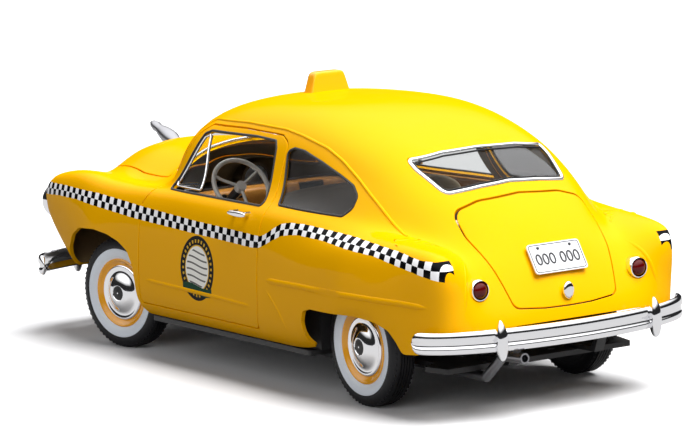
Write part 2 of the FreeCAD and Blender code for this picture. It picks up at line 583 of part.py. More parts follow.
def blade(points, z0, z1, wall):
    """Bumper blade: a band between a plan curve and its offset, wrapped toward the car."""
    outer = Part.BSplineCurve()
    outer.interpolate([V(x, y, z0) for x, y in points])
    n = len(points)
    inner_pts = []
    for i in range(n):
        t = outer.tangent(outer.parameter(V(points[i][0], points[i][1], z0)))[0]
        side = V(t.y, -t.x, 0)
        if side.y * points[n // 2][1] > 0:
            side = side * -1
        inner_pts.append(V(points[i][0], points[i][1], z0) + side * wall)
    inner = Part.BSplineCurve()
    inner.interpolate(inner_pts)
    a, b = outer.toShape(), inner.toShape()
    e1 = Part.LineSegment(V(points[0][0], points[0][1], z0), inner_pts[0]).toShape()
    e2 = Part.LineSegment(inner_pts[-1], V(points[-1][0], points[-1][1], z0)).toShape()
    face = Part.Face(Part.Wire([e1, b, e2, a]))
    body = face.extrude(V(0, 0, z1 - z0))
    return body.makeFillet(wall * 0.42, body.Edges)


def plan(half):
    pts = [(X(x), Y(y)) for x, y in half]
    return [(-x, y) for x, y in pts[:0:-1]] + pts


REAR_BUMPER = plan([(0, 125.0), (12, 124.3), (24, 122.4), (34, 119.2), (41, 115.2), (45.4, 110.6), (46.8, 106.5)])
FRONT_BUMPER = plan([(0, -122.0), (12, -121.2), (24, -119.0), (34, -115.6), (41.5, -111.6), (46.0, -107.2),
                     (47.4, -103.0)])
REAR_BUMPER_Z = Z(20.6)
FRONT_BUMPER_Z = Z(20.0)
GUARD_X = X(26.6)
GUARD_WIDTH = 3.6


def guard(sign, y_face, z_mid):
    """Upright bumper guard with a rounded nose."""
    half = 5.8
    depth = 3.0
    pts = [(y_face, z_mid - half), (y_face + sign * 1.6, z_mid - half + 0.3), (y_face + sign * depth, z_mid - 3.0),
           (y_face + sign * depth, z_mid + 3.0), (y_face + sign * 1.4, z_mid + half - 0.2), (y_face, z_mid + half)]
    body = side_prism(pts, GUARD_X - GUARD_WIDTH / 2, GUARD_X + GUARD_WIDTH / 2, [0, 1, 1.5, 1.5, 1, 0])
    return body


def build_bumpers():
    rear = blade(REAR_BUMPER, REAR_BUMPER_Z, REAR_BUMPER_Z + bumper_height, bumper_wall)
    front = blade(FRONT_BUMPER, FRONT_BUMPER_Z, FRONT_BUMPER_Z + bumper_height, bumper_wall)
    add("rear_bumper", rear)
    add("front_bumper", front)
    guards = []
    for sign, y_face, z, bar in ((1, Y(120.6), REAR_BUMPER_Z, rear), (-1, Y(-117.4), FRONT_BUMPER_Z, front)):
        piece = guard(sign, y_face, z + bumper_height / 2).cut(bar)
        piece = max(piece.Solids, key=lambda s: sign * s.CenterOfMass.y)
        guards += [piece, mirrored(piece)]
    add("bumper_guards", Part.makeCompound(guards))
    irons = []
    z = plate_z + plate_thick
    for sign, y0, y1, y2, bar in ((1, Y(96), Y(113), Y(124.0), rear), (-1, Y(-94), Y(-108), Y(-120.5), front)):
        x = X(15.0)
        zb = (REAR_BUMPER_Z if sign > 0 else FRONT_BUMPER_Z) + 0.9
        pts = [(y0, z), (y0, z + 1.4), (y1 - sign * 4, z + 1.4), (y1, zb + 1.4), (y2, zb + 1.4), (y2, zb),
               (y1 + sign * 0.8, zb), (y1 - sign * 2.6, z)]
        iron = side_prism(pts, x - 1.6, x + 1.6).cut(bar)
        iron = min(iron.Solids, key=lambda s: sign * s.CenterOfMass.y)
        irons += [iron, mirrored(iron)]
    add("bumper_irons", Part.makeCompound(irons))


# ---------------------------------------------------------------- wheels and running gear
def turned(profile, x=0.0):
    """Revolve an (x, r) profile about the wheel axis."""
    w = Part.makePolygon([V(x + a, 0, r) for a, r in profile + profile[:1]])
    return Part.Face(w).revolve(V(0, 0, 0), V(1, 0, 0), 360)


def wheel_parts():
    """Left wheel pieces with the axle along X through the origin, outer face at wheel_outer_x."""
    xo = wheel_outer_x
    xi = xo - tyre_width
    r0, r1 = rim_radius, tyre_radius
    h = r1 - r0
    tyre = turned([(xi + 1.0, r0), (xi + 0.35, r0 + 0.22 * h), (xi, r0 + 0.5 * h), (xi + 0.3, r0 + 0.78 * h),
                   (xi + 1.1, r1 - 0.35), (xi + 2.0, r1), (xo - 2.0, r1), (xo - 1.1, r1 - 0.35),
                   (xo - 0.3, r0 + 0.78 * h), (xo, r0 + 0.5 * h), (xo - 0.35, r0 + 0.22 * h), (xo - 1.0, r0)])
    bore = stub_radius + running_gap
    rim = turned([(xi + 1.0, r0), (xo - 1.0, r0), (xo - 0.6, r0 - 0.3), (xo - 0.8, r0 - 1.2), (xo - 1.6, hub_cap_radius),
                  (xo - 1.6, bore), (xo - 3.4, bore), (xo - 3.4, bore + 1.2), (xo - 2.7, bore + 1.2),
                  (xo - 2.7, r0 - rim_wall - 1.2), (xo - 3.6, r0 - rim_wall), (xi + 1.0, r0 - rim_wall)])
    r = hub_cap_radius
    x0 = xo - 1.6
    dome = [(x0, r), (x0 + 0.5, r)]
    for i in range(1, 9):
        a = math.radians(90 * i / 8.0)
        dome.append((x0 + 0.5 + (hub_cap_height - 0.5) * math.sin(a), max(0.0, r * math.cos(a) ** 0.8 - 0.0)))
    cap = turned(dome + [(x0, 0.0)])
    return tyre, rim, cap


def stub_end():
    return wheel_outer_x - 1.7


def build_front_wheels():
    tyre, rim, cap = wheel_parts()
    xs = stub_end()
    zc = tyre_radius
    yoke_x = xs - 2.4
    eye_r = 1.7
    eye_h = 3.0
    arm = 1.2
    z_arm = eye_h / 2 + 0.25
    yoke = box(yoke_x - 1.2, yoke_x, -1.5, 1.5, -z_arm - arm, z_arm + arm)
    for s in (1, -1):
        z0 = s * z_arm if s > 0 else -z_arm - arm
        yoke = yoke.fuse(box(kingpin_x, yoke_x, -1.5, 1.5, z0, z0 + arm))
        yoke = yoke.fuse(Part.makeCylinder(1.5, arm, V(kingpin_x, 0, z0)))
    pin = Part.makeCylinder(kingpin_radius, 2 * z_arm + 2 * arm, V(kingpin_x, 0, -z_arm - arm))
    stub = rod(V(yoke_x - 0.6, 0, 0), V(xs, 0, 0), stub_radius)
    knuckle = yoke.fuse(pin).fuse(stub)
    for side, sx in (("left", 1), ("right", -1)):
        for name, piece in (("knuckle_", knuckle), ("tyre_front_", tyre), ("rim_front_", rim), ("hub_cap_front_", cap)):
            p = piece.copy() if sx > 0 else mirrored(piece)
            p.rotate(V(sx * kingpin_x, 0, 0), V(0, 0, 1), steer_rest)
            p.translate(V(0, FRONT, zc))
            add(name + side, p)
    beam = box(-kingpin_x + 1.6, kingpin_x - 1.6, -1.3, 1.3, -eye_h / 2, eye_h / 2)
    for s in (1, -1):
        beam = beam.fuse(Part.makeCylinder(eye_r, eye_h, V(s * kingpin_x, 0, -eye_h / 2)))
        beam = beam.fuse(box(s * 16 - 2.5, s * 16 + 2.5, -3, 3, plate_z + plate_thick - zc, -eye_h / 2))
    for s in (1, -1):
        beam = beam.cut(Part.makeCylinder(kingpin_radius + running_gap, 12, V(s * kingpin_x, 0, -6)))
    beam.translate(V(0, FRONT, zc))
    add("front_axle_beam", beam)


def build_rear_wheels():
    tyre, rim, cap = wheel_parts()
    at = V(0, REAR, tyre_radius)
    for name, piece in (("rear_tyres", tyre), ("rear_rims", rim), ("rear_hub_caps", cap)):
        pair = both(piece)
        pair.translate(at)
        add(name, pair)
    bore = stub_radius + running_gap
    shaft = rod(V(-stub_end(), 0, 0), V(stub_end(), 0, 0), stub_radius)
    collar = wheel_outer_x - 2.0
    for s in (1, -1):
        shaft = shaft.fuse(rod(V(s * (collar - 0.5), 0, 0), V(s * stub_end(), 0, 0), bore))
    shaft.translate(at)
    add("rear_axle_shaft", shaft)
    reach = wheel_outer_x - tyre_width - 2.0
    tube = rod(V(-reach, 0, 0), V(reach, 0, 0), housing_radius)
    tube = tube.fuse(rod(V(-4.0, 0, 0), V(4.0, 0, 0), housing_radius + 0.9))
    low = plate_z + plate_thick - tyre_radius
    for s in (1, -1):
        tube = tube.fuse(box(s * 22 - 2, s * 22 + 2, -3, 3, low, -0.5))
    tube = tube.cut(rod(V(-reach - 1, 0, 0), V(reach + 1, 0, 0), bore))
    tube.translate(at)
    add("rear_axle_housing", tube)


def build_base():
    """Base plate, its screws, exhaust."""
    z0 = plate_z
    z1 = plate_z + plate_thick
    right = [(X(43.0), Y(-42.0)), (X(22.5), Y(-50)), (X(22.5), Y(-92)), (X(28), Y(-95)), (X(26), Y(-99))]
    rear = [(X(43.0), Y(48.0)), (X(28.5), Y(50.5)), (X(28.5), Y(91)), (X(34), Y(94)), (X(32), Y(103))]
    half = right[::-1] + rear
    pts = half + [(-x, y) for x, y in half[::-1]]
    plate = top_prism(pts, z0, z1, 1.0)
    plate = plate.fuse(box(-X(12), X(12), Y(-58), Y(60), z0 - stand_pad, z0 + 0.3))
    spots = [(X(18), Y(-96)), (X(33), Y(-36)), (X(33), Y(40)), (X(8), Y(97))]
    screws = []
    for x, y in spots:
        for s in (1, -1):
            c = V(s * x, y, z0)
            plate = plate.cut(Part.makeCylinder(1.1, plate_thick + 2, c - V(0, 0, 1)))
            head = Part.makeCylinder(1.9, 0.8, c - V(0, 0, 0.8))
            head = head.cut(box(s * x - 1.5, s * x + 1.5, y - 0.25, y + 0.25, z0 - 0.8, z0 - 0.4))
            head = head.cut(box(s * x - 0.25, s * x + 0.25, y - 1.5, y + 1.5, z0 - 0.8, z0 - 0.4))
            screws.append(head.fuse(Part.makeCylinder(1.1, plate_thick, c)))
    add("chassis_plate", plate)
    add("base_screws", Part.makeCompound(screws))
    r = 1.5
    zp = z0 - r - 0.4
    x = X(20)
    path = [V(x, Y(-30), zp), V(x, Y(104.5), zp), V(x, Y(113), Z(17.6)), V(x, Y(123.5), Z(18.2))]
    pipe = None
    for a, b in zip(path, path[1:]):
        seg = rod(a, b, r)
        pipe = seg if pipe is None else pipe.fuse(seg)
    for p in path[1:-1]:
        pipe = pipe.fuse(Part.makeSphere(r, p))
    muffler_z = z0 - 3.2
    pipe = pipe.fuse(rod(V(x, Y(2), muffler_z), V(x, Y(30), muffler_z), 3.2))
    end = path[-1]
    back = (path[-2] - end).normalize()
    pipe = pipe.cut(rod(end + back * 5, end - back * 1, r - 0.45))
    add("exhaust_pipe", pipe)


# ---------------------------------------------------------------- interior and engine
def slanted(points, x0, x1, r):
    return side_prism([(Y(y), Z(z)) for y, z in points], X(x0), X(x1), r)


def soft(shape, r):
    """Round every edge of a simple cushion."""
    return shape.makeFillet(r, shape.Edges)


def build_interior():
    z0 = plate_z + plate_thick
    t = 1.0
    x_front = X(40.0)
    x_rear = wheel_outer_x - tyre_width - 1.8
    y_split = REAR - tyre_radius - 3.0
    seat_z = tyre_radius + housing_radius + 3.0
    tub = box(-x_front, x_front, Y(-48), y_split, z0, z0 + t)
    tub = tub.fuse(box(-X(37), X(37), Y(-50), Y(-50) + t, z0, Z(50)))
    tub = tub.cut(box(X(22), X(60), Y(-60), Y(-50) + t, 0, z0 + 6).fuse(
        box(-X(60), -X(22), Y(-60), Y(-50) + t, 0, z0 + 6)))
    tub = tub.fuse(box(-X(22), X(22), Y(-50), Y(-48), z0, z0 + t))
    tub = tub.fuse(box(-X(37), X(37), Y(-50), Y(-48), z0 + 6, z0 + 6 + t))
    tub = tub.fuse(box(-X(37), X(37), Y(-48) - t, Y(-48), z0, z0 + 6 + t))
    tub = tub.fuse(box(-x_front, x_front, y_split - t, y_split, z0, seat_z))
    tub = tub.fuse(box(-x_rear, x_rear, y_split - t, Y(86), seat_z - t, seat_z))
    tub = tub.fuse(box(-x_rear, x_rear, Y(86) - t, Y(86), seat_z - t, Z(50)))
    tub = tub.fuse(box(-x_rear, x_rear, Y(78.4), Y(86), Z(50) - t, Z(50)))
    for s in (1, -1):
        a, b = sorted((s * x_front, s * (x_front - t)))
        tub = tub.fuse(box(a, b, Y(30), y_split, z0, Z(50)))
        a, b = sorted((s * x_rear, s * (x_rear - t)))
        tub = tub.fuse(box(a, b, y_split - t, Y(86), seat_z - t, Z(50)))
        a, b = sorted((s * x_front, s * (x_rear - t)))
        tub = tub.fuse(box(a, b, y_split - t, y_split, z0, Z(50)))
    add("interior_tub", tub)
    zf = z0 + t
    base = box(-X(34), X(34), Y(-10), Y(10), zf, Z(22))
    cushion = soft(slanted([(-13, 22), (11, 22), (10, 29.5), (-13, 31.5)], -36, 36, 0), 1.8)
    back = soft(slanted([(7.5, 27), (12.5, 26), (18.5, 56), (14.5, 57.5)], -36, 36, 0), 1.5)
    add("front_seat", base.fuse(cushion).fuse(back))
    cushion = soft(slanted([(51.5, 22.95), (70, 22.95), (70, 30.5), (51.5, 33)], -29, 29, 0), 1.8)
    cushion.translate(V(0, 0, seat_z - Z(22.95)))
    back = soft(slanted([(66.5, 28), (71.5, 27), (77.2, 47.5), (72.2, 51.5)], -28.5, 28.5, 0), 1.5)
    add("rear_seat", cushion.fuse(back))
    dash = slanted([(-47.5, 42), (-42, 40.5), (-39.5, 44), (-39.5, 48), (-42, 50), (-47.5, 50)], -35, 35, 0.8)
    hang = slanted([(-48.95, 43), (-47.5, 43), (-47.5, 48), (-48.95, 48)], -30, 30, 0)
    add("dashboard", dash.fuse(hang))
    cx = X(17)
    hub = V(cx, Y(-29.0), Z(52.6))
    d = V(0, 0.82, 0.57).normalize()
    foot = hub - d * 14.0
    tube = rod(foot, hub - d * 2.0, 1.4)
    tube = tube.cut(rod(hub - d * 8, hub, 0.75))
    add("steering_column", tube.cut(dash))
    ring = Part.makeTorus(11.0, 0.75, hub, d)
    wheel = ring.fuse(rod(hub - d * 1.7, hub + d * 0.6, 1.7)).fuse(rod(hub - d * 7.5, hub, 0.7))
    up = V(0, -0.57, 0.82).normalize()
    for a in (90, 210, 330):
        e = (V(1, 0, 0) * math.cos(math.radians(a)) + up * math.sin(math.radians(a)))
        wheel = wheel.fuse(rod(hub, hub + e * 11.0, 0.5))
    add("steering_wheel", wheel)
    inside = slab(0, -skin)
    stem = rod(V(0, Y(-27), Z(70)), V(0, Y(-27), Z(83)), 0.6).cut(inside)
    stem = min(stem.Solids, key=lambda s: s.CenterOfMass.z)
    mirror = soft(box(-5.5, 5.5, Y(-27) - 0.6, Y(-27) + 0.6, Z(68.8), Z(71.8)), 0.4)
    add("rear_view_mirror", mirror.fuse(stem))
    for side, s in (("left", 1), ("right", -1)):
        visor = soft(box(7.0, 24.0, Y(-22.5), Y(-14.5), Z(72.6), Z(73.5)), 0.35)
        visor = visor.fuse(rod(V(5.0, Y(-22.5), Z(73.05)), V(26.0, Y(-22.5), Z(73.05)), 0.5))
        bracket = box(4.4, 6.6, Y(-22.5) - 0.8, Y(-22.5) + 0.8, Z(72.2), Z(82)).cut(inside)
        bracket = min(bracket.Solids, key=lambda q: q.CenterOfMass.z)
        bracket = bracket.cut(rod(V(0, Y(-22.5), Z(73.05)), V(30, Y(-22.5), Z(73.05)), 0.55))
        add("sun_visor_" + side, visor if s > 0 else mirrored(visor))
        if s > 0:
            add("visor_brackets", both(bracket))


def build_door_fittings():
    """Inner card and handle on each door."""
    card = slab(-skin - card_gap, -skin - 1.6).common(side_prism(inset(DOOR, 2.2), X(30), X(60), DOOR_R))
    card = biggest(card.common(box(0, X(60), Y(-60), Y(60), Z(18), Z(52.5))))
    z = Z(51.6)
    bar = soft(box(X(45.9), X(45.9) + 1.5, Y(11.5), Y(21.5), z - 0.9, z + 0.9), 0.55)
    hold = bar
    for y in (Y(13.0), Y(20.0)):
        hold = hold.fuse(rod(V(X(42), y, z), V(X(46.6), y, z), 0.75))
    hold = hold.cut(slab(0, -skin - 2.0))
    hold = max(hold.Solids, key=lambda q: q.CenterOfMass.x)
    for side, s in (("left", 1), ("right", -1)):
        add("door_card_" + side, card if s > 0 else mirrored(card))
        add("door_handle_" + side, hold if s > 0 else mirrored(hold))


def build_outer_fittings():
    """Roof sign, ornament, plate, trunk handle."""
    under = slab(0, -3.0)
    z0 = Z(79.5)
    sign = Part.makeLoft([
        Part.makePolygon([V(-8, Y(-4) - 2.9, z0), V(8, Y(-4) - 2.9, z0), V(8, Y(-4) + 2.9, z0), V(-8, Y(-4) + 2.9, z0),
                          V(-8, Y(-4) - 2.9, z0)]),
        Part.makePolygon([V(-5, Y(-4) - 2.0, z0 + 9), V(5, Y(-4) - 2.0, z0 + 9), V(5, Y(-4) + 2.0, z0 + 9),
                          V(-5, Y(-4) + 2.0, z0 + 9), V(-5, Y(-4) - 2.0, z0 + 9)])], True, True)
    sign = sign.makeFillet(0.8, [e for e in sign.Edges if e.CenterOfMass.z > z0 + 1])
    sign = max(sign.cut(under).Solids, key=lambda q: q.CenterOfMass.z)
    add("roof_sign", sign)
    low = V(0, Y(-92), Z(57.6))
    tip = V(0, Y(-112.5), Z(66.0))
    d = (tip - low).normalize()
    wires = []
    for t, r in ((0.0, 0.5), (3.5, 1.5), (8.0, 2.1), (14.0, 1.7), (19.0, 1.0), (22.0, 0.35)):
        c = low + d * t
        wires.append(Part.Wire(Part.makeCircle(r, c, d)))
    body = Part.makeLoft(wires, True)
    foot = rod(V(0, Y(-99), Z(56.5)), V(0, Y(-100.5), Z(61.5)), 1.4)
    orn = body.fuse(foot).cut(under)
    orn = max(orn.Solids, key=lambda q: q.CenterOfMass.z)
    add("hood_ornament", orn)
    n = V(0, 0.84, 0.54).normalize()
    up = V(0, -0.54, 0.84).normalize()
    mid = V(0, Y(112.3), Z(43.1))
    plate = Part.makeBox(18, 9.2, 0.6, V(-9, 0, 0))
    m = FreeCAD.Matrix(1, 0, 0, 0, 0, up.y, n.y, 0, 0, up.z, n.z, 0, 0, 0, 0, 1)
    plate = plate.transformGeometry(m)
    plate.translate(mid - up * 4.6)
    plate = max(plate.cut(under).Solids, key=lambda q: q.Volume)
    posts = rod(mid - n * 3, mid + n * 0.1, 0.9)
    posts = posts.cut(under).cut(plate)
    posts = max(posts.Solids, key=lambda q: q.CenterOfMass.dot(n))
    add("number_plate", plate.fuse(posts))
    y = Y(116.9)
    grip = soft(box(-1.9, 1.9, y - 0.2, y + 1.5, Z(31.8), Z(36.8)), 0.6)
    stalk = rod(V(0, y - 4, Z(34.3)), V(0, y + 0.4, Z(34.3)), 1.0)
    handle = grip.fuse(stalk).cut(under)
    add("trunk_handle", max(handle.Solids, key=lambda q: q.CenterOfMass.y))


def build_engine():
    z0 = plate_z + plate_thick
    block = box(-7, 7, Y(-88), Y(-58), z0 + 7.5, Z(38))
    block = block.fuse(box(-5, 5, Y(-86), Y(-60), Z(38), Z(44)))
    for s in (1, -1):
        for y in (Y(-84), Y(-63)):
            block = block.fuse(box(s * 9 - 2.5, s * 9 + 2.5, y - 2, y + 2, z0, z0 + 10))
    beam_room = box(-20, 20, FRONT - 4.5, FRONT + 4.5, 0, tyre_radius + 3.0)
    add("engine_block", block.cut(beam_room))
    can = Part.makeCylinder(6.0, 3.6, V(0, Y(-72), Z(44)))
    can = can.fuse(Part.makeCylinder(1.0, 0.9, V(0, Y(-72), Z(44) + 3.6)))
    add("air_cleaner", can)
    core = box(-12.5, 12.5, Y(-97.5), Y(-94.5), z0, Z(40))
    core = core.fuse(box(-11, 11, Y(-97.5), Y(-94.5), Z(40), Z(43))).fuse(
        Part.makeCylinder(1.6, 1.6, V(0, Y(-96), Z(43))))
    add("radiator", core)


build_body()
build_glazing()
build_lamps()
build_grille()
build_bumpers()
build_front_wheels()
build_rear_wheels()
build_base()
build_interior()
build_door_fittings()
build_outer_fittings()
build_engine()

for name, shape in nodes.items():
    shape.exportStep("parts/" + name + ".step")
box_all = Part.makeCompound(list(nodes.values())).BoundBox
print(len(nodes), "nodes", [round(v, 2) for v in (box_all.XMin, box_all.XMax, box_all.YMin, box_all.YMax,
                                                   box_all.ZMin, box_all.ZMax)])
for name, shape in nodes.items():
    b = shape.BoundBox
    print(name, len(shape.Solids), shape.isValid(), round(shape.Volume, 1),
          [round(v, 1) for v in (b.XMin, b.XMax, b.YMin, b.YMax, b.ZMin, b.ZMax)])
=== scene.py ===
"""Diecast taxi: the finished look of a one eighteenth collector car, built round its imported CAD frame.

Everything is drawn in millimetres about the middle of the wheelbase and moved into the row
frame (metres, +Z up, nose along -Y, left side +X) when a mesh is made.
"""

import json
import logging
import math
from dataclasses import dataclass
from enum import Enum
from typing import Callable, Dict, List, Optional, Sequence, Tuple

import bmesh
import bpy
import numpy as np
from mathutils import Matrix, Vector
from mathutils.geometry import delaunay_2d_cdt
from mathutils.kdtree import KDTree

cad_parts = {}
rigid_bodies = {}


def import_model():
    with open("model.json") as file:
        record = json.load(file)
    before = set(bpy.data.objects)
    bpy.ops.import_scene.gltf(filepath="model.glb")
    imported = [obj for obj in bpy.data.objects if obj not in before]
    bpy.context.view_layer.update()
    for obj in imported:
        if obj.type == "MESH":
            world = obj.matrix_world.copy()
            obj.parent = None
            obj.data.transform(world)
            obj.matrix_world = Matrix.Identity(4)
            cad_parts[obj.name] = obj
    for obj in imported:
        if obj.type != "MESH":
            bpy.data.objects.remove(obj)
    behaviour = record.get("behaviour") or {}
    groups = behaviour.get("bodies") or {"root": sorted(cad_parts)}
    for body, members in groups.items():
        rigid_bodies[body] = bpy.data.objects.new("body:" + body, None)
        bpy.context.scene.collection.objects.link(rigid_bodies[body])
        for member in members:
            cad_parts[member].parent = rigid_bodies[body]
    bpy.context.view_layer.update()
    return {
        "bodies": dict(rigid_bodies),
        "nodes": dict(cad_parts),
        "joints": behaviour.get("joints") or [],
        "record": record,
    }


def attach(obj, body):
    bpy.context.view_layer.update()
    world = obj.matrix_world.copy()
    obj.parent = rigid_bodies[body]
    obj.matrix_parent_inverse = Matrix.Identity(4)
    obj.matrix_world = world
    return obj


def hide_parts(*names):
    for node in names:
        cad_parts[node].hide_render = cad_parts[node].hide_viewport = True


LOG = logging.getLogger("taxi")
MM = 0.001
SHIFT = np.array([0.0, -1.5, 0.0])
Array = np.ndarray
Pairs = List[Tuple[float, float]]


class Plane(Enum):
    """The two coordinates an outline is drawn in."""

    SIDE = (1, 2)
    END = (0, 2)
    TOP = (0, 1)


@dataclass(frozen=True)
class CarSize:
    """Overall sizes shared by the sub-assemblies, in millimetres."""

    wheelbase: float = 141.0
    axle_z: float = 17.5
    tyre_radius: float = 17.5
    tyre_width: float = 8.0
    wheel_outer_x: float = 39.8
    rim_radius: float = 10.9
    hub_cap_radius: float = 8.7
    kingpin_x: float = 32.5
    steer_rest: float = 12.5
    wall: float = 1.2
    gap: float = 0.35
    edge: float = 0.13
    nose: float = 48.5

    @property
    def front(self) -> float:
        """Front axle station."""
        return -self.wheelbase / 2

    @property
    def rear(self) -> float:
        """Rear axle station."""
        return self.wheelbase / 2


CAR = CarSize()


# ------------------------------------------------------------------ skin
def F(a: float) -> float:
    """Station a degrees round the front axle."""
    return -70.5 - a


def R(a: float) -> float:
    """Station a degrees round the rear axle."""
    return 70.5 + a


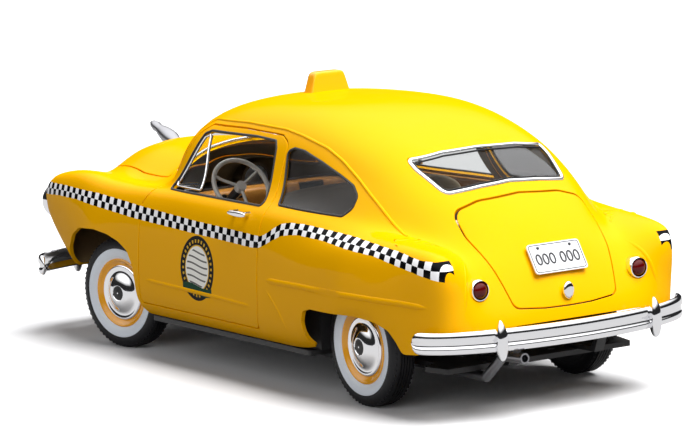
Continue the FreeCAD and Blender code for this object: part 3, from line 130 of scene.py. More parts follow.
# Each row is one lengthwise line: (station, half width, height above the axle line or fan radius).
ROWS = [
 [(F(100), 39, 12), (F(40), 42, 11), (F(0), 43, 8), (-58, 43.2, 2), (-50, 43.2, -3), (50, 43.5, -3),
  (62, 43.8, 1), (R(0), 44, 5), (R(50), 42, 8), (R(100), 40, 10)],
 [(F(100), 41, 13), (F(75), 43.3, 14), (F(58), 44.8, 15), (F(30), 46.6, 14), (F(0), 47.3, 10.5),
  (-58, 47.2, 5), (-50, 47.0, -0.5), (0, 47.2, -0.5), (45, 48.0, -0.5), (62, 48.2, 4), (R(0), 48.4, 8),
  (R(30), 48.0, 11), (R(60), 46.8, 14), (R(80), 45.5, 15), (R(100), 44, 15)],
 [(F(100), 40.5, 15), (F(80), 42, 17), (F(70), 43.2, 20), (F(58), 44.6, 25), (F(30), 46.8, 20), (F(0), 47.7, 15),
  (-50, 47.4, 8), (0, 47.5, 7), (45, 48.7, 8), (R(0), 49.0, 13), (R(30), 48.2, 18), (R(56), 46.6, 25),
  (R(80), 45.0, 24), (R(100), 44, 23)],
 [(F(100), 40, 16.5), (F(80), 41, 19), (F(70), 42, 25), (F(58), 42.8, 38), (F(45), 44.6, 33), (F(30), 46.0, 27),
  (F(0), 47.0, 22.5), (-50, 46.8, 18), (0, 46.9, 17.5), (45, 48.0, 18), (R(0), 48.4, 22), (R(30), 46.8, 27),
  (R(45), 45.6, 32), (R(56), 44.2, 37), (R(80), 43.2, 33), (R(100), 42.5, 32)],
 [(F(100), 39, 18), (F(80), 40, 21.5), (F(70), 40.6, 29.5), (F(62), 41.0, 44), (F(56), 41.8, 47.5),
  (F(45), 43.3, 42.5), (F(30), 44.6, 36), (F(0), 45.6, 31), (-50, 45.9, 28), (0, 46.0, 26.5), (45, 47.0, 27),
  (R(0), 47, 30), (R(30), 45.3, 34), (R(45), 43.8, 41), (R(56), 42.6, 46.5), (R(66), 42, 43.5),
  (R(80), 41.6, 39), (R(100), 41, 38)],
 [(F(100), 37, 19.5), (F(82), 38, 23), (F(75), 38.5, 27), (F(70), 38.5, 33.5), (F(66), 38.5, 44),
  (F(62), 38.6, 52.0), (F(57), 39, 55.0), (F(50), 39.7, 53.0), (F(37), 41, 46.2), (F(18), 42.3, 40.0),
  (F(0), 43, 37.2), (-55, 43.2, 36.4), (-40, 43.7, 35.6), (-20, 44.3, 34.5), (0, 44.7, 33.6), (20, 45, 33.5),
  (40, 45.3, 34.2), (56, 44.3, 33.8), (R(0), 43, 33.0), (R(10), 42.5, 33.6), (R(22), 42, 35.3),
  (R(35), 41.4, 39.7), (R(46), 40.8, 45.6), (R(52), 40.4, 50.0), (R(56), 40, 52.2), (R(61), 39.6, 51.1),
  (R(68), 39.4, 47.3), (R(77), 39.2, 44.5), (R(86), 39, 43), (R(100), 39, 42)],
 [(F(100), 31, 21), (F(82), 31.5, 25), (F(75), 31.5, 29.5), (F(70), 31.5, 36), (F(66), 31.5, 44),
  (F(62), 32, 49.6), (F(57), 32.5, 52.2), (F(50), 33.2, 51.0), (F(37), 34.3, 45.3), (F(18), 35.8, 39.2),
  (F(0), 36.8, 36.3), (-55, 37.6, 36.0), (-40, 40.0, 36.6), (-20, 42.2, 36.5), (0, 42.6, 36.3),
  (20, 42.9, 36.3), (40, 43.0, 36.7), (56, 41.9, 36.0), (R(0), 40.3, 34.8), (R(10), 39.3, 34.8),
  (R(22), 38.0, 36), (R(35), 36.6, 39.7), (R(46), 35.4, 45.2), (R(52), 34.8, 49.0), (R(56), 34.4, 50.7),
  (R(61), 34, 49.8), (R(68), 33.6, 47.4), (R(77), 33.2, 46.0), (R(86), 33, 45), (R(100), 33, 44)],
 [(F(100), 22, 25), (F(90), 22, 26.5), (F(81), 22, 30), (F(71), 22, 36.8), (F(63), 22.5, 43.2), (F(56), 23, 46.6),
  (F(49), 24, 46.4), (F(41), 25.5, 44.2), (F(30), 27, 40.0), (F(15), 28.5, 36.0), (F(0), 30, 33.7),
  (-55, 31.5, 34.2), (-46, 34, 35.5), (-38, 38.3, 36.7), (-28, 40.3, 37.6), (-10, 40.6, 37.9),
  (30, 40.9, 38.2), (50, 40.3, 38.3), (60, 39.4, 37.8), (R(0), 37.8, 36.8), (R(10), 36.3, 36.2),
  (R(22), 34, 36.2), (R(35), 31.3, 38.4), (R(46), 29.3, 42.0), (R(56), 28, 45.2), (R(68), 27, 46.0),
  (R(80), 26.5, 46.5), (R(100), 26, 46)],
 [(F(100), 16, 27.5), (F(90), 16, 28.5), (F(81), 16, 31.5), (F(71), 16, 38.2), (F(63), 16, 44.8),
  (F(56), 16.5, 48.6), (F(49), 17.2, 49.4), (F(41), 18.7, 47.9), (F(30), 20.5, 44.4), (F(15), 22.5, 40.6),
  (F(0), 24, 38.6), (-54, 25.2, 38.6), (-46, 28.5, 39.3), (-38, 35.0, 39.4), (-30, 37.6, 41.3),
  (-15, 37.7, 42.5), (30, 38.1, 42.9), (50, 37.3, 43.1), (60, 36.5, 42.8), (R(0), 34.8, 42.2),
  (R(12), 32.5, 41.2), (R(23), 30, 41.0), (R(32), 27.8, 41.4), (R(45), 25, 43.4), (R(56), 22.5, 45.9),
  (R(68), 21, 46.8), (R(80), 20.5, 47.8), (R(100), 20, 47)],
 [(F(100), 12.5, 28.3), (F(90), 12.5, 29.3), (F(81), 12.5, 32.4), (F(71), 12.5, 39.4), (F(63), 12.5, 46.2),
  (F(56), 12.8, 50.2), (F(49), 13.2, 51.1), (F(41), 14.5, 49.9), (F(30), 16.5, 46.8), (F(15), 18.5, 43.2),
  (F(0), 20, 41.4), (-54, 21, 41.5), (-46, 24.5, 42.3), (-38, 32.0, 44.0), (-30, 35.2, 48.5),
  (-20, 35.1, 50.4), (30, 35.3, 50.8), (48, 34.8, 49.8), (60, 33.5, 48.2), (R(0), 31.8, 46.6),
  (R(12), 29.8, 44.8), (R(23), 27.3, 43.8), (R(32), 25, 43.6), (R(45), 21.8, 44.8), (R(56), 18.5, 46.6),
  (R(68), 17, 47.4), (R(80), 16.5, 48.3), (R(100), 16, 47.5)],
 [(F(100), 9, 28.6), (F(90), 9, 29.6), (F(81), 9, 32.8), (F(71), 9, 39.8), (F(63), 9, 46.6), (F(56), 9, 50.9),
  (F(49), 9.5, 52.3), (F(41), 10.5, 51.5), (F(30), 12, 48.5), (F(15), 14, 45.2), (F(0), 15.5, 43.4),
  (-54, 16.5, 43.6), (-46, 19.5, 45.0), (-38, 27.0, 49.8), (-30, 31.0, 54.6), (-20, 31.6, 56.6),
  (0, 32.0, 58.0), (30, 32.2, 58.2), (45, 31.7, 57.0), (60, 30.0, 54.2), (R(0), 28.3, 51.4),
  (R(12), 26.0, 48.0), (R(23), 23.3, 46.4), (R(32), 21, 46.2), (R(45), 17.5, 46.6), (R(56), 14.5, 47.5),
  (R(68), 13, 48.0), (R(80), 12.5, 48.6), (R(100), 12, 48)],
 [(F(100), 5, 29), (F(90), 5, 30), (F(81), 5, 33.2), (F(71), 5, 40.2), (F(63), 5, 47.0), (F(56), 5, 51.3),
  (F(49), 5, 53.0), (F(41), 5.5, 52.5), (F(30), 7, 49.3), (F(15), 8, 46.2), (F(0), 9, 44.4), (-54, 10, 44.7),
  (-46, 12.5, 47.5), (-38, 18.5, 53.6), (-30, 22.5, 58.6), (-20, 24, 61.2), (0, 25, 63.2), (25, 25, 63.6),
  (40, 24.3, 62.6), (55, 23, 59.6), (R(0), 21, 55.4), (R(12), 18.5, 51.4), (R(23), 15.8, 48.6),
  (R(32), 14, 48.0), (R(45), 11.3, 47.9), (R(56), 9, 48.2), (R(68), 8, 48.4), (R(80), 7.5, 49),
  (R(100), 7, 48.5)],
 [(F(100), 2.5, 29), (F(90), 2.5, 30), (F(81), 2.5, 33.5), (F(71), 2.5, 40.6), (F(63), 2.5, 47.4),
  (F(56), 2.5, 51.7), (F(49), 2.5, 53.4), (F(41), 3, 52.9), (F(30), 3.5, 49.8), (F(15), 4, 46.6),
  (F(0), 4.5, 44.7), (-54, 5, 45.1), (-46, 6, 48.4), (-38, 9, 54.9), (-30, 11.5, 60.4), (-20, 12.5, 63.1),
  (0, 13, 65.0), (25, 13, 65.2), (40, 12.5, 64.2), (55, 12, 61.3), (R(0), 10.5, 56.0), (R(12), 9, 52.0),
  (R(23), 8, 49.5), (R(32), 7, 48.9), (R(45), 5.5, 48.6), (R(56), 4.5, 48.6), (R(68), 4, 48.7),
  (R(80), 4, 49.2), (R(100), 3.5, 49)],
 [(F(100), 0, 29), (F(90), 0, 30), (F(81), 0, 33.5), (F(71), 0, 40.7), (F(63), 0, 47.5), (F(56), 0, 51.9),
  (F(49), 0, 53.6), (F(41), 0, 53.0), (F(30), 0, 49.9), (F(15), 0, 46.7), (F(0), 0, 44.8), (-54, 0, 45.2),
  (-46, 0, 48.7), (-38, 0, 55.3), (-30, 0, 60.9), (-20, 0, 63.6), (0, 0, 65.4), (25, 0, 65.6), (40, 0, 64.6),
  (55, 0, 61.7), (R(0), 0, 56.2), (R(12), 0, 52.2), (R(23), 0, 49.7), (R(32), 0, 49.1), (R(45), 0, 48.8),
  (R(56), 0, 48.7), (R(68), 0, 48.8), (R(80), 0, 49.3), (R(100), 0, 49)],
]
STATIONS = [F(a) for a in (100, 92, 84, 77, 71, 66, 62, 58, 53, 47, 40, 32, 22, 11, 0)]
STATIONS += [-62, -54, -48, -43, -38, -33, -28, -20, -8, 6, 20, 34, 48, 60]
STATIONS += [R(a) for a in (0, 10, 20, 29, 38, 45, 50, 54, 58, 63, 69, 76, 84, 92, 100)]


def through(keys: Sequence[Tuple[float, float]], s: float) -> float:
    """Monotone cubic through (station, value) keys.

    Args:
        keys: Rising stations with their values.
        s: Station to read.

    Returns:
        The value at s, held beyond the ends.
    """
    xs = [k[0] for k in keys]
    ys = [k[1] for k in keys]
    if s <= xs[0]:
        return ys[0]
    if s >= xs[-1]:
        return ys[-1]
    n = len(xs)
    d = [(ys[i + 1] - ys[i]) / (xs[i + 1] - xs[i]) for i in range(n - 1)]

    def slope(i: int) -> float:
        """Tangent at key i."""
        if i == 0:
            return d[0]
        if i == n - 1 or d[i - 1] * d[i] <= 0:
            return 0.0
        h0, h1 = xs[i] - xs[i - 1], xs[i + 1] - xs[i]
        w1, w2 = 2 * h1 + h0, h1 + 2 * h0
        return (w1 + w2) / (w1 / d[i - 1] + w2 / d[i])

    i = max(j for j in range(n - 1) if xs[j] <= s)
    h = xs[i + 1] - xs[i]
    t = (s - xs[i]) / h
    a, b = slope(i) * h, slope(i + 1) * h
    return ((2 * t**3 - 3 * t**2 + 1) * ys[i] + (t**3 - 2 * t**2 + t) * a
            + (-2 * t**3 + 3 * t**2) * ys[i + 1] + (t**3 - t**2) * b)


class Skin:
    """The car's outer surface: one clamped cubic spline surface, symmetric about X = 0."""

    def __init__(self) -> None:
        """Builds the net of poles and a coarse table for searches."""
        half = [[self._pole(s, row) for row in ROWS] for s in STATIONS]
        left = np.array(half)
        right = left[:, ::-1][:, 1:] * [-1, 1, 1]
        self.net = np.concatenate([left, right], 1)
        gu, gv = np.meshgrid(np.linspace(0, 1, 261), np.linspace(0, 0.5, 121), indexing="ij")
        self.table_uv = np.c_[gu.ravel(), gv.ravel()]
        self.table = self.points(self.table_uv)

    @staticmethod
    def _pole(s: float, row: Sequence[Tuple[float, float, float]]) -> Tuple[float, float, float]:
        """A pole from its station, half width and height or fan radius."""
        x = through([(k[0], k[1]) for k in row], s)
        h = through([(k[0], k[2]) for k in row], s)
        if s < CAR.front:
            a = math.radians(CAR.front - s)
            return x, CAR.front - h * math.sin(a), CAR.axle_z + h * math.cos(a)
        if s > CAR.rear:
            a = math.radians(s - CAR.rear)
            return x, CAR.rear + h * math.sin(a), CAR.axle_z + h * math.cos(a)
        return x, s, CAR.axle_z + h

    @staticmethod
    def _basis(n: int, t: Array) -> Array:
        """Cubic basis values, one row per parameter."""
        knots = np.r_[np.zeros(3), np.linspace(0, 1, n - 2), np.ones(3)]
        t = np.clip(t, 0, 1 - 1e-12)
        rows = [((t >= knots[i]) & (t < knots[i + 1])).astype(float) for i in range(n + 3)]
        for k in range(1, 4):
            nxt = []
            for i in range(n + 3 - k):
                d0, d1 = knots[i + k] - knots[i], knots[i + k + 1] - knots[i + 1]
                a = (t - knots[i]) / d0 if d0 > 0 else 0.0
                b = (knots[i + k + 1] - t) / d1 if d1 > 0 else 0.0
                nxt.append(a * rows[i] + b * rows[i + 1])
            rows = nxt
        return np.array(rows).T

    def points(self, uv: Array) -> Array:
        """Surface points at (u, v) pairs."""
        nu, nv, _ = self.net.shape
        bu, bv = self._basis(nu, uv[:, 0]), self._basis(nv, uv[:, 1])
        rows = np.tensordot(bu, self.net, axes=(1, 0))
        return np.einsum("pj,pjk->pk", bv, rows)

    def normals(self, uv: Array) -> Array:
        """Outward unit normals at (u, v) pairs."""
        e = 2e-4
        u0, u1 = np.clip(uv[:, 0] - e, 0, 1), np.clip(uv[:, 0] + e, 0, 1)
        v0, v1 = np.clip(uv[:, 1] - e, 0, 1), np.clip(uv[:, 1] + e, 0, 1)
        du = self.points(np.c_[u1, uv[:, 1]]) - self.points(np.c_[u0, uv[:, 1]])
        dv = self.points(np.c_[uv[:, 0], v1]) - self.points(np.c_[uv[:, 0], v0])
        n = np.cross(du, dv)
        n /= np.linalg.norm(n, axis=1, keepdims=True) + 1e-15
        return n

    def locate(self, plane: Plane, targets: Array, where: Callable[[Array], Array]) -> Tuple[Array, Array]:
        """Finds the surface points whose two plane coordinates match.

        Args:
            plane: Which two coordinates are given.
            targets: The wanted pairs; for END and TOP a negative X means the right side.
            where: Picks the part of the surface to search, from points to a mask.

        Returns:
            (u, v) pairs and a mask of those that were found.
        """
        i, j = plane.value
        want = np.array(targets, float)
        flip = want[:, 0] < -1e-6 if i == 0 else np.zeros(len(want), bool)
        if i == 0:
            want[:, 0] = np.abs(want[:, 0])
        mask = np.where(where(self.table))[0]
        tree = KDTree(len(mask))
        for k, m in enumerate(mask):
            tree.insert((self.table[m, i], self.table[m, j], 0.0), k)
        tree.balance()
        uv = np.array([self.table_uv[mask[tree.find((a, b, 0.0))[1]]] for a, b in want])
        e = 1e-4
        for _ in range(9):
            p = self.points(uv)[:, [i, j]]
            pu = (self.points(uv + [e, 0])[:, [i, j]] - self.points(uv - [e, 0])[:, [i, j]]) / (2 * e)
            pv = (self.points(uv + [0, e])[:, [i, j]] - self.points(uv - [0, e])[:, [i, j]]) / (2 * e)
            r = want - p
            det = pu[:, 0] * pv[:, 1] - pu[:, 1] * pv[:, 0]
            det = np.where(np.abs(det) < 1e-6, 1e-6, det)
            du = (r[:, 0] * pv[:, 1] - r[:, 1] * pv[:, 0]) / det
            dv = (pu[:, 0] * r[:, 1] - pu[:, 1] * r[:, 0]) / det
            uv = uv + np.clip(np.c_[du, dv], -0.02, 0.02)
            uv[:, 0] = np.clip(uv[:, 0], 0, 1)
            uv[:, 1] = np.clip(uv[:, 1], 0, 0.5)
        found = np.linalg.norm(self.points(uv)[:, [i, j]] - want, axis=1) < 0.08
        found &= where(self.points(uv))
        uv[flip, 1] = 1 - uv[flip, 1]
        return uv, found


def rounded(points: Pairs, radius: Sequence[float], step: float = 0.55) -> Array:
    """Closed polyline through corner points with rounded corners.

    Args:
        points: Corners in order.
        radius: Corner radii, one per corner.
        step: Longest distance between samples.

    Returns:
        The samples, without repeating the first.
    """
    n = len(points)
    out: List[Array] = []
    for i in range(n):
        p0, p1, p2 = (np.array(points[k % n], float) for k in (i - 1, i, i + 1))
        a, b = p0 - p1, p2 - p1
        la, lb = np.linalg.norm(a), np.linalg.norm(b)
        half = math.acos(max(-1.0, min(1.0, float(a @ b) / (la * lb)))) / 2
        if radius[i] <= 0 or half > 1.55:
            out.append(p1)
            continue
        cut = min(radius[i] / math.tan(half), 0.45 * la, 0.45 * lb)
        rr = cut * math.tan(half)
        a, b = a / la, b / lb
        mid = (a + b) / np.linalg.norm(a + b)
        c = p1 + mid * (rr / math.sin(half))
        t1, t2 = p1 + a * cut - c, p1 + b * cut - c
        a1, a2 = math.atan2(t1[1], t1[0]), math.atan2(t2[1], t2[0])
        turn = (a2 - a1 + math.pi) % (2 * math.pi) - math.pi
        k = max(3, int(abs(turn) * rr / 0.3))
        out += [c + rr * np.array([math.cos(a1 + turn * t / k), math.sin(a1 + turn * t / k)]) for t in range(k + 1)]
    dense: List[Array] = []
    for i, p in enumerate(out):
        q = out[(i + 1) % len(out)]
        m = max(1, int(np.linalg.norm(q - p) / step))
        dense += [p + (q - p) * t / m for t in range(m)]
    return np.array(dense)


def inset(points: Pairs, d: float) -> Pairs:
    """A closed outline moved d inward, or outward where d is negative."""
    n = len(points)
    area = sum(points[i - 1][0] * points[i][1] - points[i][0] * points[i - 1][1] for i in range(n))
    turn = 1.0 if area > 0 else -1.0
    out = []
    for i in range(n):
        p0, p1, p2 = points[i - 1], points[i], points[(i + 1) % n]
        ax, ay, bx, by = p1[0] - p0[0], p1[1] - p0[1], p2[0] - p1[0], p2[1] - p1[1]
        la, lb = math.hypot(ax, ay), math.hypot(bx, by)
        nax, nay, nbx, nby = -ay / la * turn, ax / la * turn, -by / lb * turn, bx / lb * turn
        k = d / max(0.35, 1 + nax * nbx + nay * nby)
        out.append((p1[0] + (nax + nbx) * k, p1[1] + (nay + nby) * k))
    return out


def xz(half: Pairs) -> Pairs:
    """Symmetric outline from the half with X at or above 0."""
    return list(half) + [(-x, z) for x, z in half[::-1] if x > 1e-6]


@dataclass(frozen=True)
class Outline:
    """A shape cut in the skin along one axis."""

    plane: Plane
    points: Tuple[Tuple[float, float], ...]
    radii: Tuple[float, ...]
    where: Callable[[Array], Array]

    def sampled(self, d: float = 0.0, step: float = 0.55) -> Array:
        """The outline moved d inward, as a closed polyline."""
        return rounded(inset(list(self.points), d) if d else list(self.points), self.radii, step)

    def inside(self, p: Array, d: float = 0.0) -> Array:
        """Which points of the skin lie inside the outline moved d inward."""
        i, j = self.plane.value
        a, b = p[:, i], p[:, j]
        poly = self.sampled(d)
        hit = np.zeros(len(p), bool)
        q = np.roll(poly, 1, axis=0)
        for (x0, y0), (x1, y1) in zip(q, poly):
            if y0 == y1:
                continue
            cross = (y0 > b) != (y1 > b)
            hit ^= cross & (a < (x1 - x0) * (b - y0) / (y1 - y0) + x0)
        return hit & self.where(p)


def outline(plane: Plane, points: Pairs, radii: Sequence[float], where: Callable[[Array], Array]) -> Outline:
    """Packs an outline's lists into its frozen form."""
    return Outline(plane, tuple(points), tuple(radii), where)


def on_side(p: Array) -> Array:
    """The flanks of the car."""
    return np.abs(p[:, 0]) > 18


DOOR = outline(Plane.SIDE, [
    (-42.5, 18.4), (-42.6, 49.0), (-38.4, 54.5), (-26.3, 71.0), (-20.5, 73.9), (0.0, 74.4), (22.0, 74.0),
    (26.6, 72.0), (28.3, 54.5), (27.8, 42.0), (28.2, 27.0), (27.4, 18.4)],
    [0.8, 1.0, 3.0, 4.0, 4.0, 0, 3.0, 3.0, 0, 0, 0, 1.5], on_side)
DOOR_WINDOW = outline(Plane.SIDE, [
    (-31.2, 54.4), (-22.2, 71.0), (-18.8, 72.1), (8.5, 72.5), (19.5, 72.1), (21.0, 70.0), (24.4, 54.3)],
    [0.8, 1.2, 1.5, 0, 1.0, 0.8, 1.2], on_side)
VENT = outline(Plane.SIDE, [(-31.2, 54.4), (-22.2, 71.0), (-18.8, 72.1), (-17.5, 72.1), (-12.2, 54.4)],
               [0.9, 1.2, 0.8, 0.4, 0.4], on_side)
QUARTER = outline(Plane.SIDE, [
    (32.0, 54.9), (27.2, 70.0), (30.5, 71.2), (36.0, 70.8), (46.0, 68.3), (55.5, 65.4), (62.5, 62.9),
    (66.0, 60.0), (66.0, 56.5), (63.5, 54.2), (55.0, 54.4)], [1.2, 1.5, 1.5, 6, 10, 10, 5, 2.5, 2.5, 1.5, 0], on_side)
REAR_WINDOW = outline(Plane.END, xz([
    (0, 71.8), (13.0, 71.4), (23.4, 70.1), (23.5, 67.3), (20.9, 60.8), (10.0, 62.0), (0, 62.6)]),
    [0, 8, 1.6, 2.5, 1.8, 8, 0, 8, 1.8, 2.5, 1.6, 8], lambda p: p[:, 1] > 55)
WINDSCREEN = outline(Plane.END, xz([
    (0, 77.0), (14, 76.4), (24.0, 74.2), (29.2, 69.5), (34.2, 58.4), (32.9, 57.6), (27.0, 59.6), (17.0, 63.2),
    (8.0, 64.4), (0, 64.8)]), [0, 6, 4, 4, 1.0, 1.0, 6, 6, 6, 0, 6, 6, 6, 1.0, 1.0, 4, 4, 6],
    lambda p: (p[:, 1] > -60) & (p[:, 1] < -10))
TRUNK = outline(Plane.END, xz([
    (0, 60.0), (14.0, 59.0), (22.3, 56.6), (22.6, 50.0), (20.0, 41.0), (17.6, 31.0), (8.0, 30.2), (0, 30.1)]),
    [0, 10, 4, 6, 0, 2.5, 0, 0, 0, 2.5, 0, 6, 4, 10], lambda p: p[:, 1] > 84)
HOOD = outline(Plane.TOP, [
    (0, -113.2), (9.5, -112.0), (17.5, -107.0), (22.5, -95.0), (26.5, -72.0), (28.0, -53.2), (-28.0, -53.2),
    (-26.5, -72.0), (-22.5, -95.0), (-17.5, -107.0), (-9.5, -112.0)], [0, 5, 5, 8, 0, 2, 2, 0, 8, 5, 5],
    lambda p: p[:, 2] > 44)
GRILLE = outline(Plane.END, xz([(0, 44.0), (16.0, 43.2), (22.0, 39.5), (23.0, 34.5), (19.0, 29.5), (0, 28.6)]),
                 [0, 4, 4, 4, 4, 0, 4, 4, 4, 4], lambda p: p[:, 1] < -95)
FRONT_ARCH = outline(Plane.SIDE, [
    (-112, 21.0), (-95.0, 23.5), (-91.0, 30.5), (-86.3, 35.2), (-80.5, 38.0), (-70.3, 38.6), (-62.5, 37.8),
    (-55.5, 36.2), (-50.0, 33.8), (-46.9, 29.8), (-45.4, 25.0), (-44.6, 19.0), (-43.0, 14.5), (-43.0, 2.0),
    (-112, 2.0)], [0, 2, 6, 6, 6, 10, 10, 8, 5, 5, 5, 6, 0, 0, 0], lambda p: p[:, 1] < 0)
REAR_ARCH = outline(Plane.SIDE, [
    (52.8, 2.0), (52.8, 23.8), (54.0, 27.0), (57.7, 28.0), (78.3, 28.0), (88.0, 27.4), (93.4, 25.6), (96.0, 22.5),
    (98.0, 19.2), (104.5, 19.6), (112.0, 24.6), (117.0, 26.2), (135.0, 26.2), (135.0, 2.0)],
    [0, 1.5, 1.5, 2, 0, 8, 4, 4, 2, 4, 4, 3, 0, 0], lambda p: p[:, 1] > 40)


def disc(x: float, z: float, r: float, front: bool) -> Outline:
    """Round lamp hole seen along the car."""
    pts = [(x + r * math.cos(a), z + r * math.sin(a)) for a in np.linspace(0, 2 * math.pi, 48, endpoint=False)]
    return outline(Plane.END, pts, [0.0] * 48, (lambda p: p[:, 1] < -100) if front else (lambda p: p[:, 1] > 100))


HEAD_LAMP = disc(35.2, 42.6, 5.6, True)
TAIL_LAMP = disc(27.5, 37.0, 3.1, False)


# ------------------------------------------------------------------ meshes
@dataclass
class MeshData:
    """Vertices in millimetres with faces and optional extras."""

    verts: Array
    faces: List[Tuple[int, ...]]
    normals: Optional[Array] = None
    slots: Optional[Array] = None

    def mirrored(self) -> "MeshData":
        """The same piece on the other side of the car."""
        n = None if self.normals is None else self.normals * [-1, 1, 1]
        return MeshData(self.verts * [-1, 1, 1], [tuple(f[::-1]) for f in self.faces], n, self.slots)

    def joined(self, other: "MeshData") -> "MeshData":
        """Both meshes in one; normals are kept only if both have them."""
        k = len(self.verts)
        faces = self.faces + [tuple(i + k for i in f) for f in other.faces]
        n = None
        if self.normals is not None and other.normals is not None:
            n = np.r_[self.normals, other.normals]
        a = self.slots if self.slots is not None else np.zeros(len(self.faces), int)
        b = other.slots if other.slots is not None else np.zeros(len(other.faces), int)
        return MeshData(np.r_[self.verts, other.verts], faces, n, np.r_[a, b])

    def moved(self, m: Matrix) -> "MeshData":
        """The mesh carried by a rigid transform."""
        a = np.array(m)
        n = None if self.normals is None else self.normals @ a[:3, :3].T
        return MeshData(self.verts @ a[:3, :3].T + a[:3, 3], self.faces, n, self.slots)


BAND_TOP = [(-119, 48.4), (-110.4, 49.5), (-93.9, 50.1), (-70.3, 49.9), (-42.3, 48.2), (-10.8, 46.9), (24.4, 46.1),
            (28.2, 46.0), (30.4, 46.4), (34, 48.2), (38.4, 50.4), (43, 51.3), (50.9, 51.5), (76.2, 50.1), (97.3, 48.0),
            (106.1, 46.5), (111, 46.2), (116, 46.9)]
BAND_LOW = [(-119, 44.2), (-112.9, 45.4), (-98, 46.5), (-83.1, 46.7), (-47.2, 44.3), (-10.1, 43.1), (25.2, 42.3),
            (29.2, 42.7), (34.8, 45.2), (40.3, 47.3), (48.0, 48.3), (61.6, 48.0), (87.8, 46.0), (103.2, 43.2),
            (116, 40.3)]


def band_values(p: Array) -> Array:
    """Coordinates along and across the checked band, for points in millimetres."""
    top = np.interp(p[:, 1], [k[0] for k in BAND_TOP], [k[1] for k in BAND_TOP])
    low = np.interp(p[:, 1], [k[0] for k in BAND_LOW], [k[1] for k in BAND_LOW])
    return np.c_[p[:, 1], (p[:, 2] - low) / (top - low), np.abs(p[:, 0])]


class Workshop:
    """Turns mesh data into finished pieces of the scene."""

    def __init__(self, finishes: Dict[str, bpy.types.Material]) -> None:
        """Keeps the materials that pieces are given by name."""
        self.finishes = finishes

    def make(self, name: str, data: MeshData, body: str, materials: Sequence[str], slot: str,
             replaces: Sequence[str] = (), smooth_angle: float = 40.0, band: bool = False,
             fix: bool = False) -> bpy.types.Object:
        """Builds one piece, hangs it on its body and hides the CAD nodes that it stands for.

        Args:
            name: The piece's name.
            data: Its mesh in millimetres.
            body: The CAD body it rides on.
            materials: Finish names, one per material slot.
            slot: The record's material slot; not used.
            replaces: CAD nodes that it stands for.
            smooth_angle: Edges sharper than this stay sharp when there are no exact normals.
            band: Adds the checked band's coordinates.
            fix: Recalculates the facing of every face.

        Returns:
            The new object.
        """
        me = bpy.data.meshes.new(name)
        me.from_pydata(((data.verts + SHIFT) * MM).tolist(), [], [tuple(int(i) for i in f) for f in data.faces])
        for m in materials:
            me.materials.append(self.finishes[m])
        if data.slots is not None:
            me.polygons.foreach_set("material_index", np.asarray(data.slots, np.int32))
        me.polygons.foreach_set("use_smooth", np.ones(len(me.polygons), bool))
        if fix:
            bm = bmesh.new()
            bm.from_mesh(me)
            bmesh.ops.recalc_face_normals(bm, faces=bm.faces)
            bm.to_mesh(me)
            bm.free()
        me.update()
        if band:
            a = me.attributes.new("band", "FLOAT_VECTOR", "POINT")
            a.data.foreach_set("vector", band_values(data.verts).astype(np.float32).ravel())
        if data.normals is not None:
            me.normals_split_custom_set_from_vertices(data.normals.tolist())
        else:
            me.set_sharp_from_angle(angle=math.radians(smooth_angle))
        ob = bpy.data.objects.new(name, me)
        bpy.context.scene.collection.objects.link(ob)
        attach(ob, body)
        if replaces:
            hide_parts(*replaces)
        return ob


